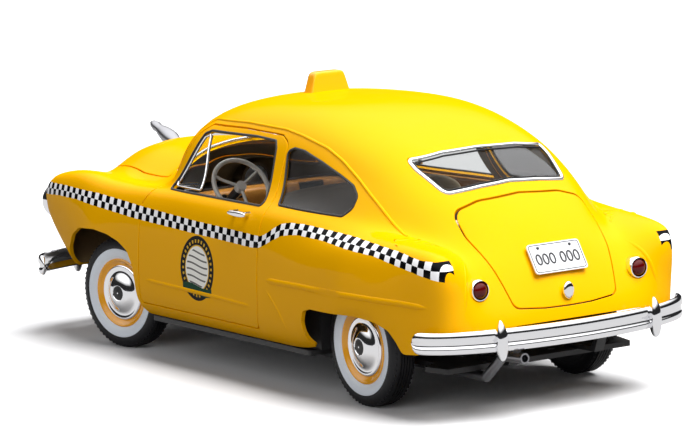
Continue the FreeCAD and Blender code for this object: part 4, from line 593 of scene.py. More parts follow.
class PanelMaker:
    """Cuts the skin into panels that share one triangulation."""

    def __init__(self, skin: Skin) -> None:
        """Triangulates the left half of the skin with every outline in it."""
        self.skin = skin
        e, h = CAR.edge, CAR.gap / 2
        cuts = [(DOOR, -(h + e)), (DOOR, h + e), (DOOR_WINDOW, -e), (QUARTER, -e), (REAR_WINDOW, -e), (WINDSCREEN, -e),
                (TRUNK, -(h + e)), (TRUNK, h + e), (HOOD, -(h + e)), (HOOD, h + e), (GRILLE, -e), (FRONT_ARCH, -e),
                (REAR_ARCH, -e), (HEAD_LAMP, -e), (TAIL_LAMP, -e), (VENT, 1.0)]
        pts: List[Array] = []
        edges: List[Tuple[int, int]] = []
        count = 0
        for z in (CAR.nose - h - e, CAR.nose + h + e):
            xs = np.linspace(0.0, 19.0, 36)
            uv, ok = skin.locate(Plane.END, np.c_[xs, np.full(36, z)], lambda p: p[:, 1] < -95)
            uv = uv[ok & (uv[:, 1] <= 0.5 + 1e-9)]
            edges += [(count + k, count + k + 1) for k in range(len(uv) - 1)]
            pts.append(uv)
            count += len(uv)
        for shape, d in cuts:
            poly = shape.sampled(d)
            uv, ok = skin.locate(shape.plane, poly, shape.where)
            ok &= uv[:, 1] <= 0.5 + 1e-9
            near = skin.points(uv)
            n = len(uv)
            for k in range(n):
                q = (k + 1) % n
                if ok[k] and ok[q] and np.linalg.norm(near[k] - near[q]) < 4:
                    edges.append((count + k, count + q))
            uv[~ok] = [0.0, 0.0]
            pts.append(uv)
            count += n
        cut_uv = np.concatenate(pts)
        used = sorted({i for ed in edges for i in ed})
        remap = {i: k for k, i in enumerate(used)}
        cut_uv = cut_uv[used]
        edges = [(remap[a], remap[b]) for a, b in edges]
        tree = KDTree(len(cut_uv))
        scale = np.array([240.0, 220.0])
        for k, (a, b) in enumerate(cut_uv * scale):
            tree.insert((a, b, 0.0), k)
        tree.balance()
        gu, gv = np.meshgrid(np.linspace(0, 1, 231), np.linspace(0, 0.5, 93), indexing="ij")
        grid = np.c_[gu.ravel(), gv.ravel()]
        border = (grid[:, 0] < 1e-9) | (grid[:, 0] > 1 - 1e-9) | (grid[:, 1] < 1e-9) | (grid[:, 1] > 0.5 - 1e-9)
        keep = [bool(b) or tree.find((p[0] * 240, p[1] * 220, 0.0))[2] > 0.42 for p, b in zip(grid, border)]
        grid = grid[np.array(keep)]
        flat = np.r_[cut_uv, grid] * scale
        res = delaunay_2d_cdt([Vector((a, b)) for a, b in flat], edges, [], 0, 1e-5)
        self.uv = np.array([[p.x, p.y] for p in res[0]]) / scale
        tris = np.array([f for f in res[2] if len(f) == 3])
        self.p = skin.points(self.uv)
        self.n = skin.normals(self.uv)
        a, b, c = (self.p[tris[:, k]] for k in range(3))
        facing = (np.cross(b - a, c - a) * self.n[tris[:, 0]]).sum(1) > 0
        tris[~facing] = tris[~facing][:, ::-1]
        area = np.linalg.norm(np.cross(b - a, c - a), axis=1)
        self.tris = tris[area > 1e-7]
        self.centres = self.p[self.tris].mean(1)
        LOG.info("skin: %d points, %d triangles", len(self.p), len(self.tris))

    def region(self, test: Callable[[Array], Array]) -> Array:
        """Triangles of the half skin that a test on their centres picks."""
        return self.tris[test(self.centres)]

    def build(self, tris: Array, whole: bool, depth: float = 0.0, wall: float = CAR.wall,
              edge: float = CAR.edge) -> MeshData:
        """A closed panel from a set of triangles.

        Args:
            tris: Triangles of the half skin.
            whole: Adds the mirrored half and joins the two at X = 0.
            depth: How far the outer face lies below the skin.
            wall: The panel's thickness.
            edge: Radius of its rounded border.

        Returns:
            Mesh data with exact normals; material 0 outside, 1 inside.
        """
        used = np.unique(tris)
        remap = -np.ones(len(self.p), int)
        remap[used] = np.arange(len(used))
        p, n, uv = self.p[used], self.n[used], self.uv[used]
        t = remap[tris]
        if whole:
            on_axis = np.abs(uv[:, 1] - 0.5) < 1e-6
            p[on_axis, 0] = 0.0
            n[on_axis, 0] = 0.0
            twin = np.arange(len(p)) + len(p)
            twin[on_axis] = np.where(on_axis)[0]
            keep_rows = np.where(~on_axis)[0]
            new_index = np.zeros(len(p), int)
            new_index[on_axis] = np.where(on_axis)[0]
            new_index[keep_rows] = len(p) + np.arange(len(keep_rows))
            t = np.r_[t, new_index[t][:, ::-1]]
            p = np.r_[p, p[keep_rows] * [-1, 1, 1]]
            n = np.r_[n, n[keep_rows] * [-1, 1, 1]]
        p = p - n * depth
        return self._solid(p, n, t, wall, edge)

    @staticmethod
    def _solid(p: Array, n: Array, t: Array, wall: float, edge: float) -> MeshData:
        """Gives a sheet a rounded border and an inner face."""
        count: Dict[Tuple[int, int], int] = {}
        for a, b, c in t:
            for q in ((a, b), (b, c), (c, a)):
                count[q] = 1
        border = [q for q in count if (q[1], q[0]) not in count]
        nxt = {a: b for a, b in border}
        prev = {b: a for a, b in border}
        ids = np.array([a for a in nxt if a in prev])
        row = {a: k for k, a in enumerate(ids)}
        tangent = np.array([p[nxt[a]] - p[prev[a]] for a in ids])
        tangent /= np.linalg.norm(tangent, axis=1, keepdims=True) + 1e-12
        out = np.cross(tangent, n[ids])
        out /= np.linalg.norm(out, axis=1, keepdims=True) + 1e-12
        verts, norms, faces, slots = [p], [n], [tuple(f) for f in t], [0] * len(t)
        base = len(p)
        last = ids.copy()
        for ang in (35.0, 90.0):
            s, c = math.sin(math.radians(ang)), math.cos(math.radians(ang))
            verts.append(p[ids] + out * edge * s - n[ids] * edge * (1 - c))
            norms.append(out * s + n[ids] * c)
            now = base + np.arange(len(ids))
            for a, b in border:
                if a in row and b in row:
                    faces.append((last[row[a]], now[row[a]], now[row[b]], last[row[b]]))
                    slots.append(0)
            base += len(ids)
            last = now
        verts.append(p[ids] + out * edge - n[ids] * wall)
        norms.append(out)
        now = base + np.arange(len(ids))
        base += len(ids)
        inner = base + np.arange(len(p))
        verts.append(p - n * wall)
        norms.append(-n)
        for a, b in border:
            if a in row and b in row:
                faces.append((last[row[a]], now[row[a]], now[row[b]], last[row[b]]))
                faces.append((now[row[a]], inner[a], inner[b], now[row[b]]))
                slots += [0, 1]
        faces += [tuple(inner[f[::-1]]) for f in t]
        slots += [1] * len(t)
        return MeshData(np.concatenate(verts), faces, np.concatenate(norms), np.array(slots))


def sweep(centres: Array, ups: Array, sides: Array, section: Array, closed: bool) -> MeshData:
    """Carries a closed section along a path.

    Args:
        centres: Path points.
        ups: Unit vectors for the section's second coordinate.
        sides: Unit vectors for its first coordinate.
        section: (across, up) pairs, one closed loop; or one loop per path point.
        closed: Joins the path's ends.

    Returns:
        The swept mesh, with flat caps where the path is open.
    """
    m = len(centres)
    sec = section if section.ndim == 3 else np.repeat(section[None], m, 0)
    k = sec.shape[1]
    verts = (centres[:, None] + sides[:, None] * sec[:, :, :1] + ups[:, None] * sec[:, :, 1:2]).reshape(-1, 3)
    faces: List[Tuple[int, ...]] = []
    for i in range(m if closed else m - 1):
        j = (i + 1) % m
        for a in range(k):
            b = (a + 1) % k
            faces.append((i * k + a, i * k + b, j * k + b, j * k + a))
    if not closed:
        faces.append(tuple(range(k))[::-1])
        faces.append(tuple((m - 1) * k + a for a in range(k)))
    return MeshData(verts, faces)


def oval(width: float, height: float, count: int = 12, lift: float = 0.0) -> Array:
    """Elliptical section."""
    a = np.linspace(0, 2 * math.pi, count, endpoint=False)
    return np.c_[width / 2 * np.cos(a), height / 2 * np.sin(a) + lift]


def lathe(profile: Pairs, steps: int = 96) -> MeshData:
    """Turns an (x, r) profile about X.

    Args:
        profile: Points from one end to the other; a radius of 0 closes the end.
        steps: Segments round the axis.

    Returns:
        The mesh.
    """
    ang = np.linspace(0, 2 * math.pi, steps, endpoint=False)
    verts: List[Tuple[float, float, float]] = []
    rings: List[List[int]] = []
    for x, r in profile:
        if r < 1e-6:
            rings.append([len(verts)] * steps)
            verts.append((x, 0.0, 0.0))
            continue
        rings.append(list(range(len(verts), len(verts) + steps)))
        verts += [(x, r * math.cos(a), r * math.sin(a)) for a in ang]
    faces: List[Tuple[int, ...]] = []
    for lo, hi in zip(rings, rings[1:]):
        for a in range(steps):
            b = (a + 1) % steps
            f = [lo[a], hi[a], hi[b], lo[b]]
            f = [q for i, q in enumerate(f) if q != f[i - 1]]
            if len(f) > 2:
                faces.append(tuple(f))
    return MeshData(np.array(verts), faces)


def rounded_block(half: Sequence[float], power: float = 5.0, cuts: int = 14,
                  shape: Optional[Callable[[Array], Array]] = None) -> MeshData:
    """A puffy box: a superellipsoid on a cube's grid.

    Args:
        half: Half sizes along X, Y and Z.
        power: Higher is boxier.
        cuts: Grid cells along each edge.
        shape: Optional change to the points in unit space.

    Returns:
        The closed mesh.
    """
    bm = bmesh.new()
    bmesh.ops.create_cube(bm, size=2)
    bmesh.ops.subdivide_edges(bm, edges=bm.edges, cuts=cuts, use_grid_fill=True)
    p = np.array([v.co for v in bm.verts])
    p = np.sign(p) * np.abs(np.sin(np.abs(p) * math.pi / 2))
    r = (np.abs(p) ** power).sum(1) ** (-1 / power)
    p = p * r[:, None]
    if shape is not None:
        p = shape(p)
    faces = [tuple(v.index for v in f.verts) for f in bm.faces]
    bm.free()
    return MeshData(p * np.array(half), faces)


# ------------------------------------------------------------------ finishes
class Graph:
    """Short forms for building a node tree."""

    def __init__(self, tree: bpy.types.NodeTree) -> None:
        """Keeps the tree that nodes are added to."""
        self.tree = tree

    def node(self, kind: str, **props: object) -> bpy.types.Node:
        """Adds a node and sets its properties."""
        n = self.tree.nodes.new(kind)
        for k, v in props.items():
            setattr(n, k, v)
        return n

    def put(self, socket: bpy.types.NodeSocket, value: object) -> None:
        """Links a socket to another, or sets its constant."""
        if isinstance(value, bpy.types.NodeSocket):
            self.tree.links.new(value, socket)
        elif value is not None:
            if socket.type == "RGBA" and len(value) == 3:
                value = (*value, 1.0)
            socket.default_value = value

    def math(self, op: str, a: object, b: object = None, c: object = None) -> bpy.types.NodeSocket:
        """A Math node."""
        n = self.node("ShaderNodeMath", operation=op)
        for s, v in zip(n.inputs, (a, b, c)):
            self.put(s, v)
        return n.outputs[0]

    def mix(self, fac: object, a: object, b: object) -> bpy.types.NodeSocket:
        """A colour mix."""
        n = self.node("ShaderNodeMix", data_type="RGBA")
        self.put(n.inputs[0], fac)
        self.put(n.inputs[6], a)
        self.put(n.inputs[7], b)
        return n.outputs[2]

    def noise(self, vector: object, scale: float, detail: float = 2.0) -> bpy.types.NodeSocket:
        """A noise value."""
        n = self.node("ShaderNodeTexNoise")
        self.put(n.inputs["Vector"], vector)
        self.put(n.inputs["Scale"], scale)
        self.put(n.inputs["Detail"], detail)
        return n.outputs[0]

    def step(self, value: object, lo: float, hi: float) -> bpy.types.NodeSocket:
        """A smooth rise from lo to hi."""
        n = self.node("ShaderNodeMapRange", interpolation_type="SMOOTHSTEP")
        self.put(n.inputs[0], value)
        self.put(n.inputs[1], lo)
        self.put(n.inputs[2], hi)
        return n.outputs[0]


def grain_group() -> bpy.types.NodeTree:
    """Shared effect: a fine uneven surface, as a value and a normal."""
    t = bpy.data.node_groups.new("fine_grain", "ShaderNodeTree")
    for name, kind, value in (("Scale", "NodeSocketFloat", 900.0), ("Strength", "NodeSocketFloat", 0.1),
                              ("Spread", "NodeSocketFloat", 0.1)):
        t.interface.new_socket(name, in_out="INPUT", socket_type=kind).default_value = value
    t.interface.new_socket("Value", in_out="OUTPUT", socket_type="NodeSocketFloat")
    t.interface.new_socket("Normal", in_out="OUTPUT", socket_type="NodeSocketVector")
    g = Graph(t)
    src, out = g.node("NodeGroupInput"), g.node("NodeGroupOutput")
    co = g.node("ShaderNodeTexCoord").outputs["Object"]
    fine = g.noise(co, 1.0, 3.0)
    fine.node.inputs["Scale"].default_value = 900
    g.put(fine.node.inputs["Scale"], src.outputs["Scale"])
    bump = g.node("ShaderNodeBump")
    g.put(bump.inputs["Strength"], src.outputs["Strength"])
    bump.inputs["Distance"].default_value = 0.0002
    g.put(bump.inputs["Height"], fine)
    broad = g.noise(co, 60.0, 2.0)
    both = g.math("ADD", g.math("MULTIPLY", fine, 0.5), g.math("MULTIPLY", broad, 0.5))
    g.put(out.inputs["Value"], g.math("MULTIPLY", g.math("SUBTRACT", both, 0.5), src.outputs["Spread"]))
    g.put(out.inputs["Normal"], bump.outputs[0])
    return t


def dust_group() -> bpy.types.NodeTree:
    """Shared effect: a mask of faint dust on faces that look up."""
    t = bpy.data.node_groups.new("light_dust", "ShaderNodeTree")
    t.interface.new_socket("Amount", in_out="INPUT", socket_type="NodeSocketFloat").default_value = 0.05
    t.interface.new_socket("Mask", in_out="OUTPUT", socket_type="NodeSocketFloat")
    g = Graph(t)
    src, out = g.node("NodeGroupInput"), g.node("NodeGroupOutput")
    up = g.node("ShaderNodeSeparateXYZ")
    g.put(up.inputs[0], g.node("ShaderNodeNewGeometry").outputs["Normal"])
    cloud = g.noise(g.node("ShaderNodeTexCoord").outputs["Object"], 140.0, 4.0)
    m = g.math("MULTIPLY", g.step(up.outputs[2], 0.1, 1.0), g.step(cloud, 0.4, 0.75))
    g.put(out.inputs["Mask"], g.math("MULTIPLY", m, src.outputs["Amount"]))
    return t


@dataclass(frozen=True)
class Finish:
    """A procedural surface: base colour, gloss, grain and dust."""

    name: str
    colour: Tuple[float, float, float]
    rough: float = 0.35
    metal: float = 0.0
    coat: float = 0.0
    grain: float = 0.08
    scale: float = 900.0
    spread: float = 0.08
    dust: float = 0.03
    clear: float = 0.0
    ior: float = 1.5
    second: Optional[Tuple[float, float, float]] = None
    band: bool = False
    emblem: bool = False
    spec: float = 0.5

    def build(self, grain: bpy.types.NodeTree, dust: bpy.types.NodeTree) -> bpy.types.Material:
        """Makes the material.

        Args:
            grain: The shared fine grain group.
            dust: The shared dust mask group.

        Returns:
            The new material.
        """
        mat = bpy.data.materials.new(self.name)
        mat.use_nodes = True
        mat.node_tree.nodes.clear()
        g = Graph(mat.node_tree)
        out = g.node("ShaderNodeOutputMaterial")
        bsdf = g.node("ShaderNodeBsdfPrincipled")
        gr = g.node("ShaderNodeGroup", node_tree=grain)
        gr.inputs["Scale"].default_value = self.scale
        gr.inputs["Strength"].default_value = self.grain
        gr.inputs["Spread"].default_value = self.spread
        du = g.node("ShaderNodeGroup", node_tree=dust)
        du.inputs["Amount"].default_value = self.dust
        deep = tuple(c * 0.86 for c in self.colour) if self.second is None else self.second
        vary = g.step(g.math("ADD", gr.outputs["Value"], 0.5), 0.42, 0.58)
        colour = g.mix(g.math("MULTIPLY", vary, 0.35), self.colour, deep)
        if self.band:
            colour = self._band(g, colour)
        if self.emblem:
            colour = self._emblem(g, colour)
        colour = g.mix(du.outputs["Mask"], colour, (0.55, 0.53, 0.5))
        g.put(bsdf.inputs["Base Color"], colour)
        g.put(bsdf.inputs["Roughness"], g.math("ADD", gr.outputs["Value"], self.rough))
        bsdf.inputs["Metallic"].default_value = self.metal
        bsdf.inputs["Coat Weight"].default_value = self.coat
        bsdf.inputs["Coat Roughness"].default_value = 0.04
        bsdf.inputs["IOR"].default_value = self.ior
        bsdf.inputs["Specular IOR Level"].default_value = self.spec
        bsdf.inputs["Transmission Weight"].default_value = self.clear
        g.put(bsdf.inputs["Normal"], gr.outputs["Normal"])
        shader = bsdf.outputs[0]
        if self.clear > 0.5:
            thin = g.node("ShaderNodeBsdfTransparent")
            thin.inputs[0].default_value = (*self.colour, 1)
            mixer = g.node("ShaderNodeMixShader")
            g.put(mixer.inputs[0], g.node("ShaderNodeLightPath").outputs["Is Shadow Ray"])
            g.put(mixer.inputs[1], shader)
            g.put(mixer.inputs[2], thin.outputs[0])
            shader = mixer.outputs[0]
        g.put(out.inputs["Surface"], shader)
        return mat

    @staticmethod
    def _band(g: Graph, colour: bpy.types.NodeSocket) -> bpy.types.NodeSocket:
        """Two rows of black and white checks along the flank."""
        sep = g.node("ShaderNodeSeparateXYZ")
        g.put(sep.inputs[0], g.node("ShaderNodeAttribute", attribute_name="band").outputs["Vector"])
        s, t, x = sep.outputs
        col = g.math("FLOOR", g.math("DIVIDE", g.math("ADD", s, 200.0), 2.3))
        row = g.math("FLOOR", g.math("MULTIPLY", t, 2.0))
        odd = g.math("MODULO", g.math("ADD", g.math("ADD", col, row), 10.0), 2.0)
        check = g.mix(odd, (0.004, 0.004, 0.005), (0.97, 0.97, 0.99))
        inside = g.math("MULTIPLY", g.math("GREATER_THAN", t, 0.0), g.math("LESS_THAN", t, 1.0))
        slack = g.math("MINIMUM", g.math("MULTIPLY", g.math("MAXIMUM", g.math("SUBTRACT", s, 95.0), 0.0), 0.2), 0.9)
        inside = g.math("MULTIPLY", inside, g.math("GREATER_THAN", g.math("ADD", x, slack), 36.8))
        inside = g.math("MULTIPLY", inside, g.math("LESS_THAN", s, 113.9))
        return g.mix(inside, colour, check)

    @staticmethod
    def _emblem(g: Graph, colour: bpy.types.NodeSocket) -> bpy.types.NodeSocket:
        """A plain ringed disc with a ribbon across its foot."""
        sep = g.node("ShaderNodeSeparateXYZ")
        g.put(sep.inputs[0], g.node("ShaderNodeTexCoord").outputs["Object"])
        y = g.math("DIVIDE", g.math("SUBTRACT", sep.outputs[1], -0.0087), 0.0098)
        z = g.math("DIVIDE", g.math("SUBTRACT", sep.outputs[2], 0.0328), 0.0098)
        r = g.math("SQRT", g.math("ADD", g.math("MULTIPLY", y, y), g.math("MULTIPLY", z, z)))
        ang = g.math("ARCTAN2", z, y)
        beads = g.math("GREATER_THAN", g.math("SINE", g.math("MULTIPLY", ang, 30.0)), 0.2)
        ring = g.math("MULTIPLY", g.math("COMPARE", r, 0.84, 0.05), beads)
        black, gold, pale = (0.012, 0.012, 0.012), (0.72, 0.42, 0.03), (0.92, 0.91, 0.86)
        c = g.mix(g.math("LESS_THAN", r, 1.0), colour, black)
        c = g.mix(ring, c, gold)
        c = g.mix(g.math("LESS_THAN", r, 0.70), c, pale)
        c = g.mix(g.math("COMPARE", r, 0.70, 0.02), c, gold)
        wave = g.math("MULTIPLY", g.math("SINE", g.math("MULTIPLY", y, 3.2)), 0.06)
        lines = g.math("LESS_THAN", g.math("ABSOLUTE", g.math("SUBTRACT", g.math("FRACT", g.math(
            "MULTIPLY", g.math("ADD", z, wave), 5.0)), 0.5)), 0.13)
        low = g.math("MULTIPLY", g.math("LESS_THAN", r, 0.62), lines)
        c = g.mix(g.math("MULTIPLY", low, 0.85), c, black)
        bar = g.math("MULTIPLY", g.math("COMPARE", g.math("ADD", z, wave), -0.66, 0.13), g.math("LESS_THAN", g.math(
            "ABSOLUTE", y), 0.86))
        return g.mix(bar, c, (0.01, 0.06, 0.03))


YELLOW = (0.92, 0.44, 0.0005)
FINISHES = [
    Finish("taxi_paint", YELLOW, 0.3, 0.0, 0.14, 0.012, 2600, 0.03, 0.004, second=(0.87, 0.43, 0.001), band=True,
           spec=0.0),
    Finish("door_paint", YELLOW, 0.3, 0.0, 0.14, 0.012, 2600, 0.03, 0.004, second=(0.87, 0.43, 0.001), band=True,
           emblem=True, spec=0.0),
    Finish("rim_paint", (0.98, 0.42, 0.002), 0.25, 0.0, 0.6, 0.02, 2000, 0.03),
    Finish("sign_plastic", (0.93, 0.46, 0.004), 0.3, 0.0, 0.3, 0.05, 1600, 0.05),
    Finish("lining", (0.30, 0.20, 0.09), 0.6, grain=0.2, scale=1500),
    Finish("chrome", (0.86, 0.86, 0.88), 0.06, 1.0, 0.0, 0.01, 1400, 0.03, 0.01),
    # Grey satin metal: the plain steel fittings' own finish, and painted shade on the chrome hood ornament.
    Finish("satin_metal_and_shaded_chrome", (0.35, 0.35, 0.37), 0.3, 1.0, 0.0, 0.08, 1200, 0.1),
    Finish("black_rubber", (0.012, 0.012, 0.013), 0.5, grain=0.15, scale=1400),
    Finish("tyre_black", (0.013, 0.013, 0.015), 0.42, grain=0.25, scale=1100, spread=0.12, dust=0.02, spec=0.25),
    Finish("whitewall", (0.86, 0.92, 1.0), 0.4, grain=0.05, scale=1000, second=(0.80, 0.87, 0.96)),
    Finish("glass", (0.86, 0.88, 0.88), 0.02, grain=0.004, spread=0.01, clear=1.0, ior=1.12),
    # Dark grey tint for the clear quarter panes: painted shade of the cabin seen through them.
    Finish("painted_shade_glass", (0.42, 0.41, 0.42), 0.03, grain=0.004, spread=0.01, clear=1.0, ior=1.3),
    Finish("red_lens", (0.085, 0.001, 0.001), 0.15, coat=0.25, grain=0.3, scale=700, spec=0.2),
    Finish("lamp_glass", (0.75, 0.77, 0.8), 0.1, coat=0.8, grain=0.4, scale=500),
    Finish("black_metal", (0.015, 0.015, 0.016), 0.45, grain=0.15),
    Finish("trim_plastic", (0.50, 0.21, 0.035), 0.35, coat=0.2, grain=0.12, scale=1400),
    Finish("dark_plastic", (0.03, 0.03, 0.032), 0.4, grain=0.15),
    Finish("seat_cloth", (0.36, 0.29, 0.19), 0.65, grain=0.5, scale=2400, spread=0.15, second=(0.28, 0.22, 0.14)),
    Finish("ivory", (0.55, 0.53, 0.50), 0.3, coat=0.3, grain=0.05),
    Finish("plate_white", (0.78, 0.79, 0.82), 0.35, grain=0.05),
    Finish("engine_paint", (0.05, 0.10, 0.07), 0.4, grain=0.3, scale=800),
]


# ------------------------------------------------------------------ repeats
@dataclass(frozen=True)
class Repeat:
    """A Geometry Nodes repeat of one small mesh, round X or along Z."""

    count: int
    radius: float = 0.0
    pitch: float = 0.0
    seed: int = 7

    def apply(self, name: str, item: MeshData, material: bpy.types.Material) -> MeshData:
        """Builds the node tree, evaluates it and reads the plain mesh back.

        Args:
            name: Name for the tree.
            item: The mesh to repeat, in millimetres about the origin.
            material: Finish given by Set Material.

        Returns:
            The repeated mesh.
        """
        src = bpy.data.meshes.new(name + "_item")
        src.from_pydata(item.verts.tolist(), [], [tuple(int(i) for i in f) for f in item.faces])
        unit = bpy.data.objects.new(name + "_item", src)
        tree = bpy.data.node_groups.new(name + "_repeat", "GeometryNodeTree")
        io = tree.interface
        sockets = {}
        for label, kind, value in (("Count", "NodeSocketInt", self.count), ("Radius", "NodeSocketFloat", self.radius),
                                   ("Pitch", "NodeSocketFloat", self.pitch), ("Seed", "NodeSocketInt", self.seed)):
            sockets[label] = io.new_socket(label, in_out="INPUT", socket_type=kind)
            sockets[label].default_value = value
        sockets["Item"] = io.new_socket("Item", in_out="INPUT", socket_type="NodeSocketObject")
        io.new_socket("Geometry", in_out="OUTPUT", socket_type="NodeSocketGeometry")
        g = Graph(tree)
        gi, go = g.node("NodeGroupInput"), g.node("NodeGroupOutput")
        if self.radius > 0:
            line = g.node("GeometryNodeMeshCircle")
            g.put(line.inputs["Vertices"], gi.outputs["Count"])
            g.put(line.inputs["Radius"], gi.outputs["Radius"])
            turn = g.node("GeometryNodeTransform")
            g.put(turn.inputs["Geometry"], line.outputs[0])
            turn.inputs["Rotation"].default_value = (0.0, math.pi / 2, 0.0)
            points = turn.outputs[0]
        else:
            line = g.node("GeometryNodeMeshLine")
            g.put(line.inputs["Count"], gi.outputs["Count"])
            off = g.node("ShaderNodeCombineXYZ")
            g.put(off.inputs[2], gi.outputs["Pitch"])
            g.put(line.inputs["Offset"], off.outputs[0])
            points = line.outputs[0]
        info = g.node("GeometryNodeObjectInfo")
        g.put(info.inputs["Object"], gi.outputs["Item"])
        inst = g.node("GeometryNodeInstanceOnPoints")
        g.put(inst.inputs["Points"], points)
        g.put(inst.inputs["Instance"], info.outputs["Geometry"])
        if self.radius > 0:
            pos = g.node("GeometryNodeInputPosition")
            align = g.node("FunctionNodeAlignRotationToVector", axis="Z", pivot_axis="X")
            g.put(align.inputs["Vector"], pos.outputs[0])
            g.put(inst.inputs["Rotation"], align.outputs[0])
        real = g.node("GeometryNodeRealizeInstances")
        g.put(real.inputs[0], inst.outputs[0])
        paint = g.node("GeometryNodeSetMaterial")
        g.put(paint.inputs["Geometry"], real.outputs[0])
        paint.inputs["Material"].default_value = material
        g.put(go.inputs[0], paint.outputs[0])
        host = bpy.data.objects.new(name + "_host", bpy.data.meshes.new(name + "_host"))
        bpy.context.scene.collection.objects.link(host)
        mod = host.modifiers.new("repeat", "NODES")
        mod.node_group = tree
        mod[sockets["Item"].identifier] = unit
        for label, value in (("Count", self.count), ("Radius", self.radius), ("Pitch", self.pitch),
                             ("Seed", self.seed)):
            mod[sockets[label].identifier] = value
        deps = bpy.context.evaluated_depsgraph_get()
        me = bpy.data.meshes.new_from_object(host.evaluated_get(deps))
        verts = np.array([v.co for v in me.vertices]) if len(me.vertices) else np.zeros((0, 3))
        faces = [tuple(p.vertices) for p in me.polygons]
        host.modifiers.clear()
        for ob in (host, unit):
            bpy.data.objects.remove(ob)
        LOG.info("%s: %d faces repeated", name, len(faces))
        return MeshData(verts, faces)


# ------------------------------------------------------------------ sub-assemblies
def block(x0: float, x1: float, y0: float, y1: float, z0: float, z1: float, bevel: float = 0.3) -> MeshData:
    """A box with rounded edges."""
    bm = bmesh.new()
    bmesh.ops.create_cube(bm, size=1)
    bmesh.ops.scale(bm, verts=bm.verts, vec=(x1 - x0, y1 - y0, z1 - z0))
    bmesh.ops.translate(bm, verts=bm.verts, vec=((x0 + x1) / 2, (y0 + y1) / 2, (z0 + z1) / 2))
    bmesh.ops.bevel(bm, geom=bm.edges[:], offset=bevel, segments=3, profile=0.5, affect="EDGES")
    data = MeshData(np.array([v.co for v in bm.verts]), [tuple(v.index for v in f.verts) for f in bm.faces])
    bm.free()
    return data


def tube(path: Sequence[Sequence[float]], radius: float, steps: int = 12, closed: bool = False) -> MeshData:
    """A round bar along a path."""
    p = np.array(path, float)
    d = np.roll(p, -1, 0) - np.roll(p, 1, 0) if closed else np.gradient(p, axis=0)
    d /= np.linalg.norm(d, axis=1, keepdims=True)
    ref = np.array([0.0, 0.0, 1.0]) if abs(d[0][2]) < 0.9 else np.array([1.0, 0.0, 0.0])
    ups, sides = [], []
    up = ref
    for k in d:
        up = up - k * (up @ k)
        up = up / np.linalg.norm(up)
        ups.append(up)
        sides.append(np.cross(k, up))
    return sweep(p, np.array(ups), np.array(sides), oval(2 * radius, 2 * radius, steps), closed)


